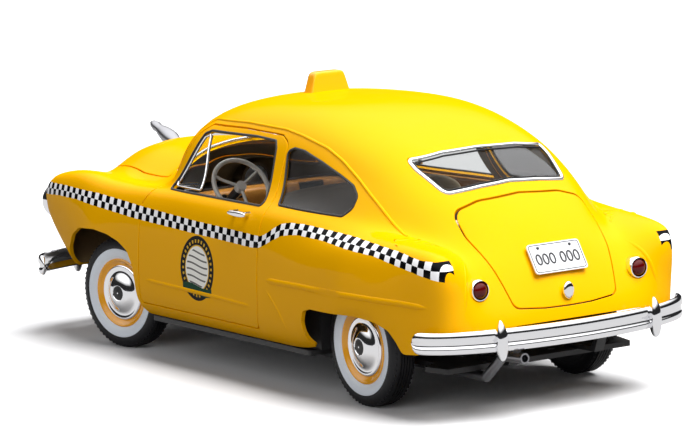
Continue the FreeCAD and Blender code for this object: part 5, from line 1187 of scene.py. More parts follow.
class BodyPanels:
    """Shell, doors, hood, trunk lid, panes and their trims."""

    def __init__(self, skin: Skin, shop: Workshop) -> None:
        """Keeps the surface and the workshop."""
        self.skin, self.shop = skin, shop
        self.maker = PanelMaker(skin)

    def build(self) -> None:
        """Makes every panel, pane and bead."""
        h, e = CAR.gap / 2, CAR.edge
        door = lambda p: DOOR.inside(p, h + e)
        cut = [(DOOR, -(h + e)), (QUARTER, -e), (REAR_WINDOW, -e), (WINDSCREEN, -e), (TRUNK, -(h + e)),
               (HOOD, -(h + e)), (GRILLE, -e), (FRONT_ARCH, -e), (REAR_ARCH, -e), (HEAD_LAMP, -e), (TAIL_LAMP, -e)]

        def shell(p: Array) -> Array:
            """Everything outside every opening."""
            keep = np.ones(len(p), bool)
            for shape, d in cut:
                hole = shape.inside(p, d)
                if shape is HOOD:
                    hole &= p[:, 2] > CAR.nose - h - e
                keep &= ~hole
            return keep

        make, m = self.shop.make, self.maker
        make("body_shell_skin", m.build(m.region(shell), True), "body", ["taxi_paint", "lining"], "yellow_paint",
             ["body_shell"], band=True)
        leaf = m.build(m.region(lambda p: door(p) & ~DOOR_WINDOW.inside(p, -e)), False)
        make("left_door_skin", leaf, "left_door", ["door_paint", "lining"], "yellow_paint", ["door_left"], band=True)
        make("right_door_skin", leaf.mirrored(), "right_door", ["door_paint", "lining"], "yellow_paint",
             ["door_right"], band=True)
        make("hood_skin", m.build(m.region(lambda p: HOOD.inside(p, h + e) & (p[:, 2] > CAR.nose + h + e)), True), "hood",
             ["taxi_paint", "lining"], "yellow_paint", ["hood_panel"], band=True)
        make("trunk_skin", m.build(m.region(lambda p: TRUNK.inside(p, h + e)), True), "trunk",
             ["taxi_paint", "lining"], "yellow_paint", ["trunk_lid"], band=True)
        pane = lambda shape, whole, d=-e: m.build(m.region(lambda p: shape.inside(p, d)), whole, 0.4, 0.45, 0.05)
        make("windscreen_pane", pane(WINDSCREEN, True), "body", ["glass", "glass"], "clear_glass",
             ["windscreen_glass"])
        make("rear_pane", pane(REAR_WINDOW, True), "body", ["glass", "glass"], "clear_glass", ["rear_window_glass"])
        # The quarter panes are clear glass. Their dark grey tint is painted shade.
        quarter = pane(QUARTER, False)
        make("quarter_panes", quarter.joined(quarter.mirrored()), "body", ["painted_shade_glass", "painted_shade_glass"],
             "clear_glass", ["quarter_glass"])
        vent = pane(VENT, False, 1.0)
        for side, ves in (("left", vent), ("right", vent.mirrored())):
            make(side + "_vent_pane", ves, side + "_vent", ["glass", "glass"], "clear_glass", ["vent_glass_" + side])
        self._trims()

    def bead(self, shape: Outline, d: float, width: float, height: float, lift: float,
             half: bool = False) -> MeshData:
        """A bead laid on the skin along an outline moved d inward."""
        poly = shape.sampled(d, 0.7)
        uv, ok = self.skin.locate(shape.plane, poly, lambda p: np.ones(len(p), bool) if shape.where is on_side
                                  else shape.where(p))
        uv = uv[ok]
        p, n = self.skin.points(uv), self.skin.normals(uv)
        keep = np.r_[True, np.linalg.norm(np.diff(p, axis=0), axis=1) > 0.15]
        p, n = p[keep], n[keep]
        t = np.roll(p, -1, 0) - np.roll(p, 1, 0)
        t /= np.linalg.norm(t, axis=1, keepdims=True)
        return sweep(p, n, np.cross(t, n), oval(width, height, 10, lift), True)

    def line(self, pts: Pairs, plane: Plane, where: Callable[[Array], Array], width: float, height: float,
             lift: float, taper: bool = True) -> MeshData:
        """A bead along an open line on the skin."""
        a = np.array(pts, float)
        s = np.r_[0, np.cumsum(np.linalg.norm(np.diff(a, axis=0), axis=1))]
        q = np.arange(0, s[-1], 0.8)
        k = np.c_[np.interp(q, s, a[:, 0]), np.interp(q, s, a[:, 1])]
        for _ in range(6):
            k[1:-1] = (k[:-2] + 2 * k[1:-1] + k[2:]) / 4
        uv, ok = self.skin.locate(plane, k, where)
        uv, q = uv[ok], q[ok]
        p, n = self.skin.points(uv), self.skin.normals(uv)
        t = np.gradient(p, axis=0)
        t /= np.linalg.norm(t, axis=1, keepdims=True)
        size = np.clip(np.minimum(q - q[0], q[-1] - q) / 6.0, 0.12, 1.0) if taper else np.ones(len(q))
        sec = oval(width, height, 10, 0.0)[None] * size[:, None, None] + [0.0, lift]
        return sweep(p, n, np.cross(t, n), sec, False)

    def _trims(self) -> None:
        """Bright beads, rubber edging and the rain gutters."""
        make = self.shop.make
        rear = self.bead(REAR_WINDOW, 0.35, 1.15, 0.85, 0.02)
        front = self.bead(WINDSCREEN, 0.25, 0.9, 0.8, 0.0)
        post = self.line([(0.0, 65.2), (0.0, 76.6)], Plane.END, WINDSCREEN.where, 1.7, 0.8, -0.1, False)
        chrome = rear.joined(front).joined(post)
        make("window_bright_beads", chrome, "body", ["chrome"], "bright_plate", ["window_trims"], fix=True)
        quarter = self.bead(QUARTER, 0.3, 0.75, 0.7, -0.08)
        rubber = self.bead(REAR_WINDOW, 1.05, 0.5, 0.6, -0.2)
        make("window_rubber", quarter.joined(quarter.mirrored()).joined(rubber), "body", ["black_rubber"],
             "black_metal", fix=True)
        gutter = self.line([(-40.6, 54.6), (-27.8, 72.2), (-21.5, 75.3), (0, 76.0), (22.5, 75.6), (33, 74.4),
                            (46, 72.0), (54.4, 69.0), (64, 64.2), (73.8, 58.6), (82.2, 53.0), (86.6, 50.8), (91, 49.9),
                            (96, 48.8), (101, 47.3)], Plane.SIDE, on_side, 1.0, 0.75, -0.08)
        ridge = self.line([(30.2, 33.6), (53, 34.0), (78.8, 34.1), (99.2, 33.9), (112, 33.1)], Plane.SIDE, on_side,
                          2.1, 0.9, -0.2)
        tail = self.line([(25.5, 47.0), (28.0, 44.4), (30.6, 41.7), (32.1, 37.8), (33.1, 33.1), (34.0, 28.6)], Plane.END,
                         lambda p: p[:, 1] > 98, 1.3, 0.6, -0.16)
        seam = self.line([(30.4, 32.6), (34.5, 30.0), (38.5, 27.0), (41.6, 24.0), (44.2, 19.7), (45.6, 16.6)], Plane.SIDE,
                         on_side, 1.0, 0.4, -0.1)
        sill = self.line([(28.9, 24.9), (36.5, 24.7)], Plane.SIDE, on_side, 1.4, 0.6, -0.14)
        creases = gutter.joined(ridge).joined(tail).joined(seam).joined(sill)
        creases.verts[:, 0] = np.minimum(creases.verts[:, 0], 48.69)
        make("body_creases", creases.joined(creases.mirrored()), "body", ["taxi_paint"], "yellow_paint", fix=True)
        fold = self.line([(-41.4, 26.1), (-5.7, 25.5), (27.0, 24.9)], Plane.SIDE, on_side, 1.4, 0.6, -0.14)
        fold.verts[:, 0] = np.minimum(fold.verts[:, 0], 48.69)
        for side, data in (("left", fold), ("right", fold.mirrored())):
            make(side + "_door_crease", data, side + "_door", ["taxi_paint"], "yellow_paint", fix=True)
        seal = self.bead(DOOR_WINDOW, -0.15, 0.8, 0.75, -0.05)
        frame = self.bead(VENT, 1.0, 0.6, 0.8, -0.2)
        for side, a, b in (("left", seal, frame), ("right", seal.mirrored(), frame.mirrored())):
            make(side + "_door_bead", a, side + "_door", ["black_rubber"], "black_metal", fix=True)
            make(side + "_vent_bead", b, side + "_vent", ["chrome"], "bright_plate", ["vent_frame_" + side], fix=True)


class Wheels:
    """Tyres, rims and hub caps."""

    def __init__(self, shop: Workshop) -> None:
        """Keeps the workshop."""
        self.shop = shop

    def _parts(self) -> Tuple[MeshData, MeshData, MeshData]:
        """Tyre, rim and cap of a left wheel about its axle, outer face at the wheel's outer X."""
        xo, w, r0, r1 = CAR.wheel_outer_x, CAR.tyre_width, CAR.rim_radius, CAR.tyre_radius
        xi = xo - w
        side = [(1.05, r0 - 0.2), (0.55, r0 + 0.5), (0.18, r0 + 1.5), (0.02, r0 + 2.6), (0.0, r0 + 3.1),
                (0.10, r0 + 3.22), (0.04, r0 + 3.35), (0.05, r0 + 4.2), (0.25, r0 + 5.1), (0.62, r0 + 5.8),
                (1.05, r1 - 0.45), (1.5, r1 - 0.16)]
        tread = []
        for k in range(5):
            a = xo - 1.75 - k * 0.93
            tread += [(a, r1 - 0.02), (a - 0.62, r1 - 0.02), (a - 0.66, r1 - 0.38), (a - 0.87, r1 - 0.38)]
        profile = [(xo - 1.05, r0 - 1.0)] + [(xo - a, r) for a, r in side] + tread
        profile += [(xi + a, r) for a, r in side[::-1]] + [(xi + 1.05, r0 - 1.0), (xo - 1.05, r0 - 1.0)]
        tyre = lathe(profile[::-1], 120)
        mid = np.array([tyre.verts[list(f)].mean(0) for f in tyre.faces])
        rad = np.hypot(mid[:, 1], mid[:, 2])
        tyre.slots = ((mid[:, 0] > xo - 1.3) & (rad < r0 + 3.2) & (rad > r0 - 0.3)).astype(int)
        cleat = block(-0.55, 0.55, -0.3, 0.3, -0.3, 0.02, 0.05)
        for x in (xo - 1.35, xi + 1.35):
            lugs = Repeat(64, r1 - 0.34).apply("tread_lugs", cleat, self.shop.finishes["tyre_black"])
            if len(lugs.verts):
                tyre = tyre.joined(lugs.moved(Matrix.Translation((x, 0, 0))))
        rim = lathe([(xo - 1.0, r0 + 0.05), (xo - 0.62, r0 - 0.05), (xo - 0.5, r0 - 0.3), (xo - 0.62, r0 - 0.6),
                        (xo - 0.95, r0 - 1.0), (xo - 1.35, r0 - 1.5), (xo - 1.75, CAR.hub_cap_radius),
                        (xo - 2.0, CAR.hub_cap_radius - 0.8), (xo - 2.0, 1.4), (xo - 3.4, 1.4), (xo - 3.4, r0 - 2.2),
                        (xi + 1.0, r0 - 1.0), (xi + 0.9, r0 + 0.05), (xo - 1.0, r0 + 0.05)][::-1], 96)
        x0, r = xo - 1.6, CAR.hub_cap_radius
        cap_pts = [(x0 - 0.1, r), (x0 + 0.25, r + 0.0), (x0 + 0.5, r - 0.25), (x0 + 0.55, r - 0.6),
                   (x0 + 0.35, r - 1.1), (x0 + 0.3, r - 1.9), (x0 + 0.55, r - 2.6), (x0 + 1.0, r - 3.3),
                   (x0 + 1.55, r - 4.2), (x0 + 1.95, r - 5.2), (x0 + 2.15, r - 6.0), (x0 + 2.18, r - 6.3),
                   (x0 + 2.05, r - 6.45), (x0 + 2.1, r - 7.2), (x0 + 2.26, 0.9), (x0 + 2.3, 0.25), (x0 + 2.3, 0.0)]
        cap = lathe([(x0 - 0.1, 0.0)] + cap_pts, 96)
        mid = np.array([cap.verts[list(f)].mean(0) for f in cap.faces])
        rad = np.hypot(mid[:, 1], mid[:, 2])
        cap.slots = ((rad < r - 6.45) & (rad > 0.3) & (mid[:, 0] > x0 + 1.0)).astype(int)
        return tyre, rim, cap

    def build(self) -> None:
        """Places the four wheels."""
        tyre, rim, cap = self._parts()
        make = self.shop.make
        looks = ((tyre, "tyre", ["tyre_black", "whitewall"], "tyre_rubber"), (rim, "rim", ["rim_paint"], "rim_paint"),
                 (cap, "hub_cap", ["chrome", "black_metal"], "bright_plate"))
        for data, name, mats, slot in looks:
            for side, sx in (("left", 1), ("right", -1)):
                piece = data if sx > 0 else data.mirrored()
                at = Matrix.Translation((sx * CAR.kingpin_x, CAR.front, CAR.axle_z))
                spin = Matrix.Rotation(math.radians(CAR.steer_rest), 4, "Z")
                back = Matrix.Translation((-sx * CAR.kingpin_x, 0, 0))
                make(f"front_{name}_{side}", piece.moved(at @ spin @ back), side + "_front_wheel", mats, slot,
                     [f"{name}_front_{side}"], fix=True)
            up = Matrix.Translation((0, CAR.rear, CAR.axle_z))
            pair = data.moved(up).joined(data.mirrored().moved(up))
            node = {"tyre": "rear_tyres", "rim": "rear_rims", "hub_cap": "rear_hub_caps"}[name]
            make(f"rear_{name}_pair", pair, "rear_wheels", mats, slot, [node], fix=True)


@dataclass(frozen=True)
class BumperSize:
    """A bumper's plan curve and heights."""

    plan: Tuple[Tuple[float, float], ...]
    z0: float
    face: float
    sign: int


class Brightwork:
    """Bumpers, guards, lamps, grille, plate, handles and ornament."""

    REAR = BumperSize(((0, 125.0), (12, 124.3), (24, 122.4), (34, 119.2), (41, 115.2), (45.4, 110.6),
                       (46.8, 106.5)), 20.6, 120.6, 1)
    FRONT = BumperSize(((0, -122.0), (12, -121.2), (24, -119.0), (34, -116.6), (42.0, -113.6), (46.6, -109.4),
                        (47.6, -104.2)), 20.0, -117.4, -1)

    def __init__(self, skin: Skin, shop: Workshop) -> None:
        """Keeps the surface and the workshop."""
        self.skin, self.shop = skin, shop

    @staticmethod
    def blade(size: BumperSize) -> MeshData:
        """A bumper blade: a rolled section carried round the plan."""
        half = np.array(size.plan)
        pts = np.r_[half[:0:-1] * [-1, 1], half]
        s = np.r_[0, np.cumsum(np.linalg.norm(np.diff(pts, axis=0), axis=1))]
        q = np.linspace(0, s[-1], 121)
        xs = [(a, b) for a, b in zip(s, pts[:, 0])]
        ys = [(a, b) for a, b in zip(s, pts[:, 1])]
        p = np.array([[through(xs, k), through(ys, k)] for k in q])
        for _ in range(10):
            p[1:-1] = (p[:-2] + 2 * p[1:-1] + p[2:]) / 4
        d = np.gradient(p, axis=0)
        d /= np.linalg.norm(d, axis=1, keepdims=True)
        out = np.c_[d[:, 1], -d[:, 0]] * (-size.sign)
        m = len(p)
        mid = size.z0 + 3.2
        sec = np.array([(-1.5, -3.15), (-0.9, -3.2), (-0.35, -3.0), (-0.08, -2.4), (0.0, -1.7), (-0.12, -1.25),
                        (-0.42, -0.95), (-0.42, 0.2), (-0.12, 0.5), (0.0, 1.0), (-0.05, 1.9), (-0.3, 2.8),
                        (-0.8, 3.15), (-1.4, 3.2), (-1.6, 2.9), (-1.25, 2.3), (-1.2, 0.0), (-1.2, -2.3),
                        (-1.6, -2.9)])
        end = np.minimum(q, s[-1] - q)
        k = np.sqrt(np.clip(1 - (1 - np.clip(end / 3.2, 0, 1)) ** 2, 0.02, 1))
        secs = np.repeat(sec[None], m, 0)
        secs[:, :, 1] *= k[:, None]
        secs[:, :, 0] = -0.8 + (secs[:, :, 0] + 0.8) * k[:, None]
        centres = np.c_[p[:, 0], p[:, 1], np.full(m, mid)]
        sides = np.c_[out, np.zeros(m)]
        ups = np.tile([0.0, 0.0, 1.0], (m, 1))
        return sweep(centres, ups, sides, secs, False)

    @staticmethod
    def guard(size: BumperSize) -> MeshData:
        """A bullet-shaped upright."""
        def shape(p: Array) -> Array:
            """Narrows the top and leans it back."""
            q = p.copy()
            k = 1 - 0.55 * np.clip(q[:, 2], 0, 1) ** 2 - 0.25 * np.clip(-q[:, 2], 0, 1) ** 2
            q[:, 0] *= k
            q[:, 1] = (q[:, 1] + 1) * (1 - 0.35 * np.clip(q[:, 2], 0, 1) ** 2) - 1
            return q
        data = rounded_block((1.8, 1.6, 5.75), 2.6, 12, shape)
        if size.sign < 0:
            data.verts[:, 1] *= -1
            data.faces = [f[::-1] for f in data.faces]
        data.verts += [26.6, size.face + size.sign * 1.5, size.z0 + 3.2]
        return data

    def build(self) -> None:
        """Makes the bright parts."""
        make = self.shop.make
        for name, size in (("rear", self.REAR), ("front", self.FRONT)):
            make(name + "_bumper_blade", self.blade(size), "body", ["chrome"], "bright_plate", [name + "_bumper"],
                 smooth_angle=60, fix=True)
        a, b = self.guard(self.REAR), self.guard(self.FRONT)
        make("bumper_guard_set", a.joined(a.mirrored()).joined(b).joined(b.mirrored()), "body", ["chrome"],
             "bright_plate", ["bumper_guards"], smooth_angle=70, fix=True)
        self._lamps()
        self._grille()
        self._plate()
        self._handles()

    def _lamps(self) -> None:
        """Head lamps and tail lamps, turned about Y."""
        make = self.shop.make
        face = Matrix.Rotation(math.radians(90), 4, "Z")
        ring = lathe([(108.5, 3.15), (112.9, 3.2), (113.6, 3.15), (114.1, 2.85), (114.15, 2.6), (113.6, 2.5),
                         (112.0, 2.45), (108.5, 2.4), (108.5, 3.15)], 48)
        lens = lathe([(111.8, 0.0), (111.8, 2.45), (113.7, 2.45), (114.3, 2.1), (114.75, 1.5), (115.0, 0.8),
                         (115.08, 0.0)], 48)
        for data, name, mat, slot, node in ((ring, "tail_lamp_rings", "chrome", "bright_plate", "tail_lamp_bezels"),
                                            (lens, "tail_lamp_glass", "red_lens", "red_lens", "tail_lamp_lenses")):
            one = data.moved(Matrix.Translation((27.5, 0, 37.0)) @ face)
            make(name, one.joined(one.mirrored()), "body", [mat], slot, [node], fix=True)
        ring = lathe([(105.5, 5.65), (113.4, 5.7), (114.5, 5.55), (114.85, 5.15), (114.7, 4.8), (113.6, 4.6),
                         (105.5, 4.6), (105.5, 5.65)], 64)
        lens = lathe([(111.0, 0.0), (111.0, 4.65), (113.8, 4.65), (114.5, 3.6), (114.9, 2.2), (115.05, 0.0)], 64)
        flip = Matrix.Rotation(math.radians(-90), 4, "Z")
        for data, name, mat, slot, node in ((ring, "head_lamp_rings", "chrome", "bright_plate", "headlamp_bezels"),
                                            (lens, "head_lamp_glass", "lamp_glass", "clear_glass",
                                             "headlamp_lenses")):
            one = data.moved(Matrix.Translation((35.2, 0, 42.6)) @ flip)
            make(name, one.joined(one.mirrored()), "body", [mat], slot, [node], fix=True)

    def _grille(self) -> None:
        """Level bars in a bright surround."""
        uv, ok = self.skin.locate(Plane.END, GRILLE.sampled(0.6, 0.7), lambda p: p[:, 1] < -90)
        p, n = self.skin.points(uv[ok]), self.skin.normals(uv[ok])
        t = np.roll(p, -1, 0) - np.roll(p, 1, 0)
        t /= np.linalg.norm(t, axis=1, keepdims=True)
        rim = sweep(p, n, np.cross(t, n), oval(1.5, 1.0, 12, -0.15), True)
        bars = rim
        for i in range(5):
            z = 28.6 + (i + 1) * 15.4 / 6
            reach = 22.4 - 0.02 * (z - 35.5) ** 2 - max(0.0, 33.5 - z) * 0.55
            xs = np.linspace(-reach, reach, 33)
            uv, ok = self.skin.locate(Plane.END, np.c_[xs, np.full(33, z)], lambda p: p[:, 1] < -90)
            c, m = self.skin.points(uv[ok]), self.skin.normals(uv[ok])
            d = np.gradient(c, axis=0)
            d /= np.linalg.norm(d, axis=1, keepdims=True)
            bars = bars.joined(sweep(c, m, np.cross(d, m), oval(1.3, 1.0, 12, -0.65), False))
        stud = block(-0.35, 0.35, -0.5, 0.5, -0.35, 0.35, 0.1)
        ribs = Repeat(5, 0.0, 15.4 / 6).apply("grille_studs", stud, self.shop.finishes["chrome"])
        if len(ribs.verts):
            bars = bars.joined(ribs.moved(Matrix.Translation((0, -115.4, 28.6 + 15.4 / 6))))
        self.shop.make("grille_bars", bars, "body", ["chrome"], "bright_plate", ["grille"], smooth_angle=60, fix=True)

    def _plate(self) -> None:
        """Registration plate with a pressed border and plain characters."""
        n, up = np.array([0, 0.8412, 0.5408]), np.array([0, -0.5408, 0.8412])
        m = Matrix(((1, 0, 0, 0), (0, up[1], n[1], 112.3), (0, up[2], n[2], 43.1), (0, 0, 0, 1)))
        base = rounded_slab(9.0, 4.6, 1.0, 0.05, 0.5)
        rim_path = [(x, y, 0.5) for x, y in rounded([(-8.55, -4.15), (8.55, -4.15), (8.55, 4.15), (-8.55, 4.15)],
                                                    [0.8] * 4, 0.8)]
        post = tube([(0, 0, -2.4), (0, 0, 0.1)], 0.9, 16)
        bolts = MeshData(np.zeros((0, 3)), [])
        for x in (-5.5, 5.5):
            head = lathe([(0.45, 0.0), (0.45, 0.5), (0.75, 0.4), (0.85, 0.0)], 18)
            bolts = bolts.joined(head.moved(Matrix.Translation((x, 3.2, 0)) @ Matrix.Rotation(-math.pi / 2, 4, "Y")))
        white = base.joined(post)
        self.shop.make("registration_plate", white.moved(m), "trunk", ["plate_white"], "plate_white",
                       ["number_plate"], fix=True)
        dark = tube(rim_path, 0.13, 6, True)
        text = bpy.data.curves.new("plate_text", "FONT")
        text.body = "000 000"
        text.size, text.extrude, text.align_x, text.align_y = 4.3, 0.1, "CENTER", "CENTER"
        ob = bpy.data.objects.new("plate_text", text)
        bpy.context.scene.collection.objects.link(ob)
        deps = bpy.context.evaluated_depsgraph_get()
        me = bpy.data.meshes.new_from_object(ob.evaluated_get(deps))
        glyph = MeshData(np.array([v.co for v in me.vertices]) * [1.08, 1.15, 1.0] + [0, -0.5, 0.56],
                         [tuple(p.vertices) for p in me.polygons])
        bpy.data.objects.remove(ob)
        self.shop.make("plate_characters", dark.joined(glyph).joined(bolts).moved(m), "trunk", ["dark_plastic"],
                       "dark_plastic", fix=True)

    def _handles(self) -> None:
        """Door and trunk handles, hood ornament, roof sign."""
        make = self.shop.make
        bar = rounded_block((0.75, 5.0, 0.9), 2.8, 12, lambda p: p * np.c_[
            np.ones(len(p)), np.ones(len(p)), 0.62 + 0.38 * np.clip((p[:, 1] + 1) / 1.2, 0, 1)])
        bar.verts += [46.6, 16.5, 51.6]
        for y in (13.0, 20.0):
            bar = bar.joined(tube([(42.6, y, 51.6), (46.5, y, 51.6)], 0.75, 14))
        for side, data in (("left", bar), ("right", bar.mirrored())):
            make(side + "_door_pull", data, side + "_door", ["chrome"], "bright_plate", ["door_handle_" + side],
                 fix=True)
        grip = rounded_block((1.85, 0.85, 2.5), 2.6, 10, lambda p: p * np.c_[
            1 - 0.35 * np.abs(p[:, 2]) ** 2, np.ones(len(p)), np.ones(len(p))])
        grip.verts += [0, 117.45, 34.3]
        stalk = tube([(0, 113.9, 34.3), (0, 117.2, 34.3)], 1.0, 16)
        make("trunk_pull", grip.joined(stalk), "trunk", ["chrome"], "bright_plate", ["trunk_handle"], fix=True)
        low, tip = np.array([0, -92.0, 57.4]), np.array([0, -112.5, 64.8])
        d = (tip - low) / np.linalg.norm(tip - low)
        prof = [(0.0, 0.5), (1.6, 1.05), (3.5, 1.55), (6.0, 2.2), (8.0, 2.6), (11.0, 2.5), (14.0, 2.0),
                (16.0, 1.5), (18.0, 1.65), (20.0, 1.25), (21.2, 0.6), (21.8, 0.1)]
        turned = lathe([(0.0, 0.0)] + prof, 40)
        x = Vector(d)
        y = Vector((1, 0, 0))
        z = x.cross(y)
        m = Matrix(((x.x, y.x, z.x, low[0]), (x.y, y.y, z.y, low[1]), (x.z, y.z, z.z, low[2]), (0, 0, 0, 1)))
        bird = turned.moved(m)
        foot = tube([(0, -99, 56.2), (0, -99.8, 59.0), (0, -100.5, 61.5)], 1.35, 18)
        # Painted shade: the chrome ornament is given a darker grey metal so that it reads as the dark reflections of
        # chrome.
        make("hood_ornament_body", bird.joined(foot), "hood", ["satin_metal_and_shaded_chrome"], "bright_plate", ["hood_ornament"], fix=True)

        def tent(p: Array) -> Array:
            """Tapers the sign toward its top."""
            q = p.copy()
            k = (q[:, 2] + 1) / 2
            q[:, 0] *= 1 - 0.36 * k
            q[:, 1] *= 1 - 0.3 * k
            return q
        sign = rounded_block((8.0, 2.95, 4.9), 9.0, 16, tent)
        sign.verts += [0, -4.0, 83.6]
        make("roof_sign_shell", sign, "body", ["sign_plastic"], "sign_plastic", ["roof_sign"], smooth_angle=60,
             fix=True)


def rounded_slab(hx: float, hy: float, r: float, z0: float, z1: float) -> MeshData:
    """A flat plate with rounded corners."""
    loop = rounded([(-hx, -hy), (hx, -hy), (hx, hy), (-hx, hy)], [r] * 4, 2.0)
    k = len(loop)
    verts = np.r_[np.c_[loop, np.full(k, z0)], np.c_[loop, np.full(k, z1)]]
    faces = [tuple(range(k))[::-1], tuple(range(k, 2 * k))]
    faces += [(a, (a + 1) % k, k + (a + 1) % k, k + a) for a in range(k)]
    return MeshData(verts, faces)


class Interior:
    """Seats, dash, steering wheel, mirror and visors."""

    def __init__(self, shop: Workshop) -> None:
        """Keeps the workshop."""
        self.shop = shop

    @staticmethod
    def pad(half: Tuple[float, float, float], at: Tuple[float, float, float], tilt: float,
            pitch: float = 6.0) -> MeshData:
        """A crowned cushion with sewn channels along its length.

        Args:
            half: Half sizes before the tilt.
            at: Its middle.
            tilt: Lean about X in degrees.
            pitch: Distance between channels.

        Returns:
            The cushion's mesh.
        """
        data = rounded_block(half, 4.5, 46)
        p = data.verts
        u, v, w = (p / np.array(half)).T
        face = np.clip(w, 0, 1) ** 2 * np.clip((1 - np.abs(v)) * 6, 0, 1) * np.clip((1 - np.abs(u)) * 9, 0, 1)
        groove = np.exp(-((np.mod(p[:, 0] + pitch / 2, pitch) - pitch / 2) / 0.55) ** 2)
        p[:, 2] -= 0.6 * groove * face
        seam = np.exp(-((np.abs(v) - 0.86) * half[1] / 0.5) ** 2) * np.clip(w, 0, 1)
        p[:, 2] -= 0.35 * seam
        m = Matrix.Translation(at) @ Matrix.Rotation(math.radians(tilt), 4, "X")
        return data.moved(m)

    def build(self) -> None:
        """Makes the cabin fittings."""
        make = self.shop.make
        front = self.pad((35.8, 11.8, 4.2), (0, -1.0, 26.6), -4.0)
        back = self.pad((35.8, 15.0, 2.6), (0, 13.0, 41.6), 79.0)
        plinth = block(-34, 34, -10, 10, 14.2, 23.0, 0.6)
        a = make("front_bench", front.joined(back).joined(plinth), "body", ["seat_cloth"], "seat_plastic",
                 ["front_seat"], fix=True)
        zc = CAR.axle_z + 2.4 + 3.0
        low = self.pad((28.8, 9.2, 4.0), (0, 61.0, zc + 4.6), -6.0)
        rest = self.pad((28.3, 11.6, 2.4), (0, 71.9, 39.2), 77.0)
        b = make("rear_bench", low.joined(rest), "body", ["seat_cloth"], "seat_plastic", ["rear_seat"], fix=True)
        dash = rounded_block((34.8, 3.9, 4.7), 4.0, 20)
        dash.verts += [0, -43.6, 45.3]
        meter = block(-20, -11, -41.6, -39.5, 42.5, 49.6, 0.5)
        hang = block(-30, 30, -48.9, -47.0, 43.2, 47.8, 0.3)
        make("dash_panel", dash.joined(hang), "body", ["trim_plastic"], "trim_plastic", ["dashboard"], fix=True)
        dials = meter
        rim_set = MeshData(np.zeros((0, 3)), [])
        spin = Matrix.Rotation(math.radians(90), 4, "Z")
        for x, r in ((17.0, 2.6), (10.5, 1.7), (23.5, 1.7)):
            dial = lathe([(0, 0.0), (0, r), (0.35, r), (0.35, 0.0)], 28)
            dials = dials.joined(dial.moved(Matrix.Translation((x, -40.1, 46.2)) @ spin))
            ring = lathe([(0, r), (0, r + 0.3), (0.5, r + 0.3), (0.5, r), (0, r)], 28)
            rim_set = rim_set.joined(ring.moved(Matrix.Translation((x, -40.1, 46.2)) @ spin))
        make("dash_dials", dials, "body", ["dark_plastic"], "dark_plastic", fix=True)
        make("dash_rings", rim_set, "body", ["chrome"], "bright_plate", fix=True)
        hub = Vector((17, -29.0, 52.6))
        d = Vector((0, 0.82, 0.57)).normalized()
        side = Vector((1, 0, 0))
        up = d.cross(side)
        ring = tube([hub + side * (9.2 * math.cos(a)) + up * (9.2 * math.sin(a)) for a in
                     np.linspace(0, 2 * math.pi, 72, endpoint=False)], 0.74, 14, True)
        for deg in (90, 210, 330):
            e = side * math.cos(math.radians(deg)) + up * math.sin(math.radians(deg))
            ring = ring.joined(tube([hub - d * 0.4 + e * 0.8, hub - d * 0.5 + e * 6, hub + e * 9.1], 0.5, 10))
        boss = tube([hub - d * 7.4, hub - d * 3, hub - d * 1.8], 0.68, 14).joined(
            tube([hub - d * 1.7, hub - d * 0.6, hub + d * 0.55], 1.65, 24))
        make("steering_wheel_ring", ring.joined(boss), "steering", ["ivory"], "ivory_plastic", ["steering_wheel"],
             smooth_angle=50, fix=True)
        glass = block(-5.5, 5.5, -27.6, -26.4, 68.8, 71.8, 0.45).joined(tube([(0, -27, 71), (0, -27, 77.6)], 0.6, 12))
        make("cabin_mirror", glass, "body", ["chrome"], "bright_plate", ["rear_view_mirror"], fix=True)
        flap = block(7, 24, -22.5, -14.5, 72.62, 73.48, 0.38).joined(tube([(5, -22.5, 73.05), (26, -22.5, 73.05)],
                                                                         0.5, 12))
        for name, data in (("left", flap), ("right", flap.mirrored())):
            make(name + "_visor_flap", data, name + "_visor", ["black_rubber"], "dark_plastic",
                 ["sun_visor_" + name], fix=True)


KEPT: Dict[str, Tuple[str, str]] = {
    # The bumper irons are plain steel. Their black finish is painted shade, standing in for the car's shadow under the
    # rear.
    "bumper_irons": ("black_metal", "plain_steel"), "front_axle_beam": ("black_metal", "black_metal"),
    "rear_axle_housing": ("black_metal", "black_metal"), "chassis_plate": ("black_metal", "black_metal"),
    "base_screws": ("satin_metal_and_shaded_chrome", "plain_steel"), "exhaust_pipe": ("satin_metal_and_shaded_chrome", "plain_steel"),
    "interior_tub": ("dark_plastic", "dark_plastic"), "steering_column": ("dark_plastic", "dark_plastic"),
    "visor_brackets": ("satin_metal_and_shaded_chrome", "plain_steel"), "engine_block": ("engine_paint", "black_metal"),
    "air_cleaner": ("black_metal", "black_metal"), "radiator": ("black_metal", "black_metal"),
    "door_card_left": ("trim_plastic", "trim_plastic"), "door_card_right": ("trim_plastic", "trim_plastic"),
    "knuckle_left": ("satin_metal_and_shaded_chrome", "plain_steel"), "knuckle_right": ("satin_metal_and_shaded_chrome", "plain_steel"),
    "rear_axle_shaft": ("satin_metal_and_shaded_chrome", "plain_steel"),
}


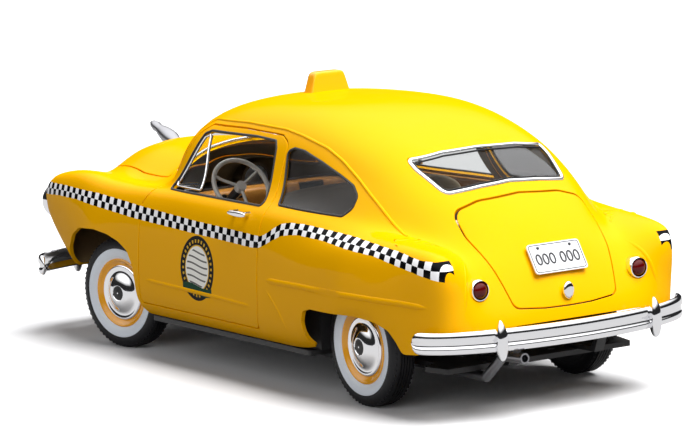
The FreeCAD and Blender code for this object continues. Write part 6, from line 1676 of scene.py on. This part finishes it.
class Studio:
    """Camera, floor, world and lights."""

    def build(self) -> None:
        """Sets the picture up."""
        self._camera()
        self._floor()
        self._world()
        self._lights()
        sc = bpy.context.scene
        sc.view_settings.view_transform = "Standard"

    @staticmethod
    def _camera() -> None:
        """Long lens from the rear left, a little above the roof line."""
        cam = bpy.data.cameras.new("camera")
        cam.lens, cam.sensor_width = 201.0, 36.0
        cam.shift_x, cam.shift_y = -0.965 / 700, 0.237 / 700
        cam.clip_start, cam.clip_end = 0.05, 20.0
        a, e, roll = 2.57094, 0.141696, -0.0429964
        back = Vector((math.sin(a) * math.cos(e), -math.cos(a) * math.cos(e), math.sin(e)))
        right = (-back).cross(Vector((0, 0, 1))).normalized()
        up = right.cross(-back)
        r2 = right * math.cos(roll) + up * math.sin(roll)
        u2 = up * math.cos(roll) - right * math.sin(roll)
        m = Matrix((r2, u2, back)).transposed().to_4x4()
        m.translation = (0.63459, 0.99336, 0.20977)
        ob = bpy.data.objects.new("camera", cam)
        ob.matrix_world = m
        bpy.context.scene.collection.objects.link(ob)
        bpy.context.scene.camera = ob

    @staticmethod
    def _floor() -> None:
        """A wide pale floor."""
        me = bpy.data.meshes.new("floor")
        s = 12.0
        me.from_pydata([(-s, -s, 0), (s, -s, 0), (s, s, 0), (-s, s, 0)], [], [(0, 1, 2, 3)])
        mat = bpy.data.materials.new("floor")
        mat.use_nodes = True
        mat.node_tree.nodes.clear()
        g = Graph(mat.node_tree)
        path = g.node("ShaderNodeLightPath")
        seen, rest = g.node("ShaderNodeBsdfDiffuse"), g.node("ShaderNodeBsdfDiffuse")
        seen.inputs[0].default_value = (0.86, 0.86, 0.87, 1)
        g.put(rest.inputs[0], g.mix(path.outputs["Is Glossy Ray"], (0.17, 0.165, 0.16), (0.42, 0.42, 0.42)))
        mix = g.node("ShaderNodeMixShader")
        g.put(mix.inputs[0], path.outputs["Is Camera Ray"])
        g.put(mix.inputs[1], rest.outputs[0])
        g.put(mix.inputs[2], seen.outputs[0])
        g.put(g.node("ShaderNodeOutputMaterial").inputs["Surface"], mix.outputs[0])
        me.materials.append(mat)
        ob = bpy.data.objects.new("floor", me)
        bpy.context.scene.collection.objects.link(ob)

    @staticmethod
    def _world() -> None:
        """White to the camera; a banded studio to reflections; dim fill for the rest."""
        world = bpy.data.worlds.new("studio")
        world.use_nodes = True
        world.node_tree.nodes.clear()
        g = Graph(world.node_tree)
        sep = g.node("ShaderNodeSeparateXYZ")
        g.put(sep.inputs[0], g.node("ShaderNodeTexCoord").outputs["Generated"])
        ramp = g.node("ShaderNodeValToRGB")
        e = ramp.color_ramp.elements
        e[0].position, e[0].color = 0.0, (0.03, 0.03, 0.035, 1)
        e[1].position, e[1].color = 1.0, (2.6, 2.6, 2.6, 1)
        for pos, v in ((0.12, 0.02), (0.30, 0.03), (0.38, 0.7), (0.52, 1.7), (0.8, 2.4)):
            k = e.new(pos)
            k.color = (v, v, v, 1)
        g.put(ramp.inputs[0], sep.outputs[2])
        path = g.node("ShaderNodeLightPath")
        dim, white = g.node("ShaderNodeBackground"), g.node("ShaderNodeBackground")
        gloss = g.math("MAXIMUM", path.outputs["Is Glossy Ray"], 0.0)
        g.put(dim.inputs[0], g.mix(gloss, (0.10, 0.10, 0.105), ramp.outputs[0]))
        dim.inputs[1].default_value = 1.0
        white.inputs[0].default_value = (1, 1, 1, 1)
        white.inputs[1].default_value = 1.0
        mix = g.node("ShaderNodeMixShader")
        g.put(mix.inputs[0], g.math("MAXIMUM", path.outputs["Is Camera Ray"], path.outputs["Is Transmission Ray"]))
        g.put(mix.inputs[1], dim.outputs[0])
        g.put(mix.inputs[2], white.outputs[0])
        g.put(g.node("ShaderNodeOutputWorld").inputs["Surface"], mix.outputs[0])
        bpy.context.scene.world = world

    @staticmethod
    def _lights() -> None:
        """One broad key from above and behind, and a weak fill from the left."""
        for name, power, angle, aim in (("key", 6.1, 46.0, (-0.22, 0.46, 1.0)), ("fill", 1.2, 60.0, (1.0, 0.6, 0.42))):
            light = bpy.data.lights.new(name, "SUN")
            light.energy, light.angle = power, math.radians(angle)
            ob = bpy.data.objects.new(name, light)
            ob.visible_glossy = False
            ob.rotation_mode = "QUATERNION"
            ob.rotation_quaternion = Vector(aim).to_track_quat("Z", "Y")
            bpy.context.scene.collection.objects.link(ob)


class Taxi:
    """The whole car."""

    def __init__(self, nodes: Dict[str, bpy.types.Object]) -> None:
        """Builds the finishes and the surface.

        Args:
            nodes: The CAD objects by name.
        """
        self.nodes = nodes
        grain, dust = grain_group(), dust_group()
        self.finishes = {f.name: f.build(grain, dust) for f in FINISHES}
        self.skin = Skin()
        self.shop = Workshop(self.finishes)

    def build(self) -> None:
        """Makes every sub-assembly and finishes the kept CAD pieces."""
        BodyPanels(self.skin, self.shop).build()
        Wheels(self.shop).build()
        Brightwork(self.skin, self.shop).build()
        Interior(self.shop).build()
        for name, (finish, slot) in KEPT.items():
            me = self.nodes[name].data
            me.materials.clear()
            me.materials.append(self.finishes[finish])


def main() -> None:
    """Loads the frame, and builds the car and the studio."""
    logging.basicConfig(level=logging.INFO)
    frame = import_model()
    Taxi(frame["nodes"]).build()
    Studio().build()


if __name__ == "__main__":
    main()
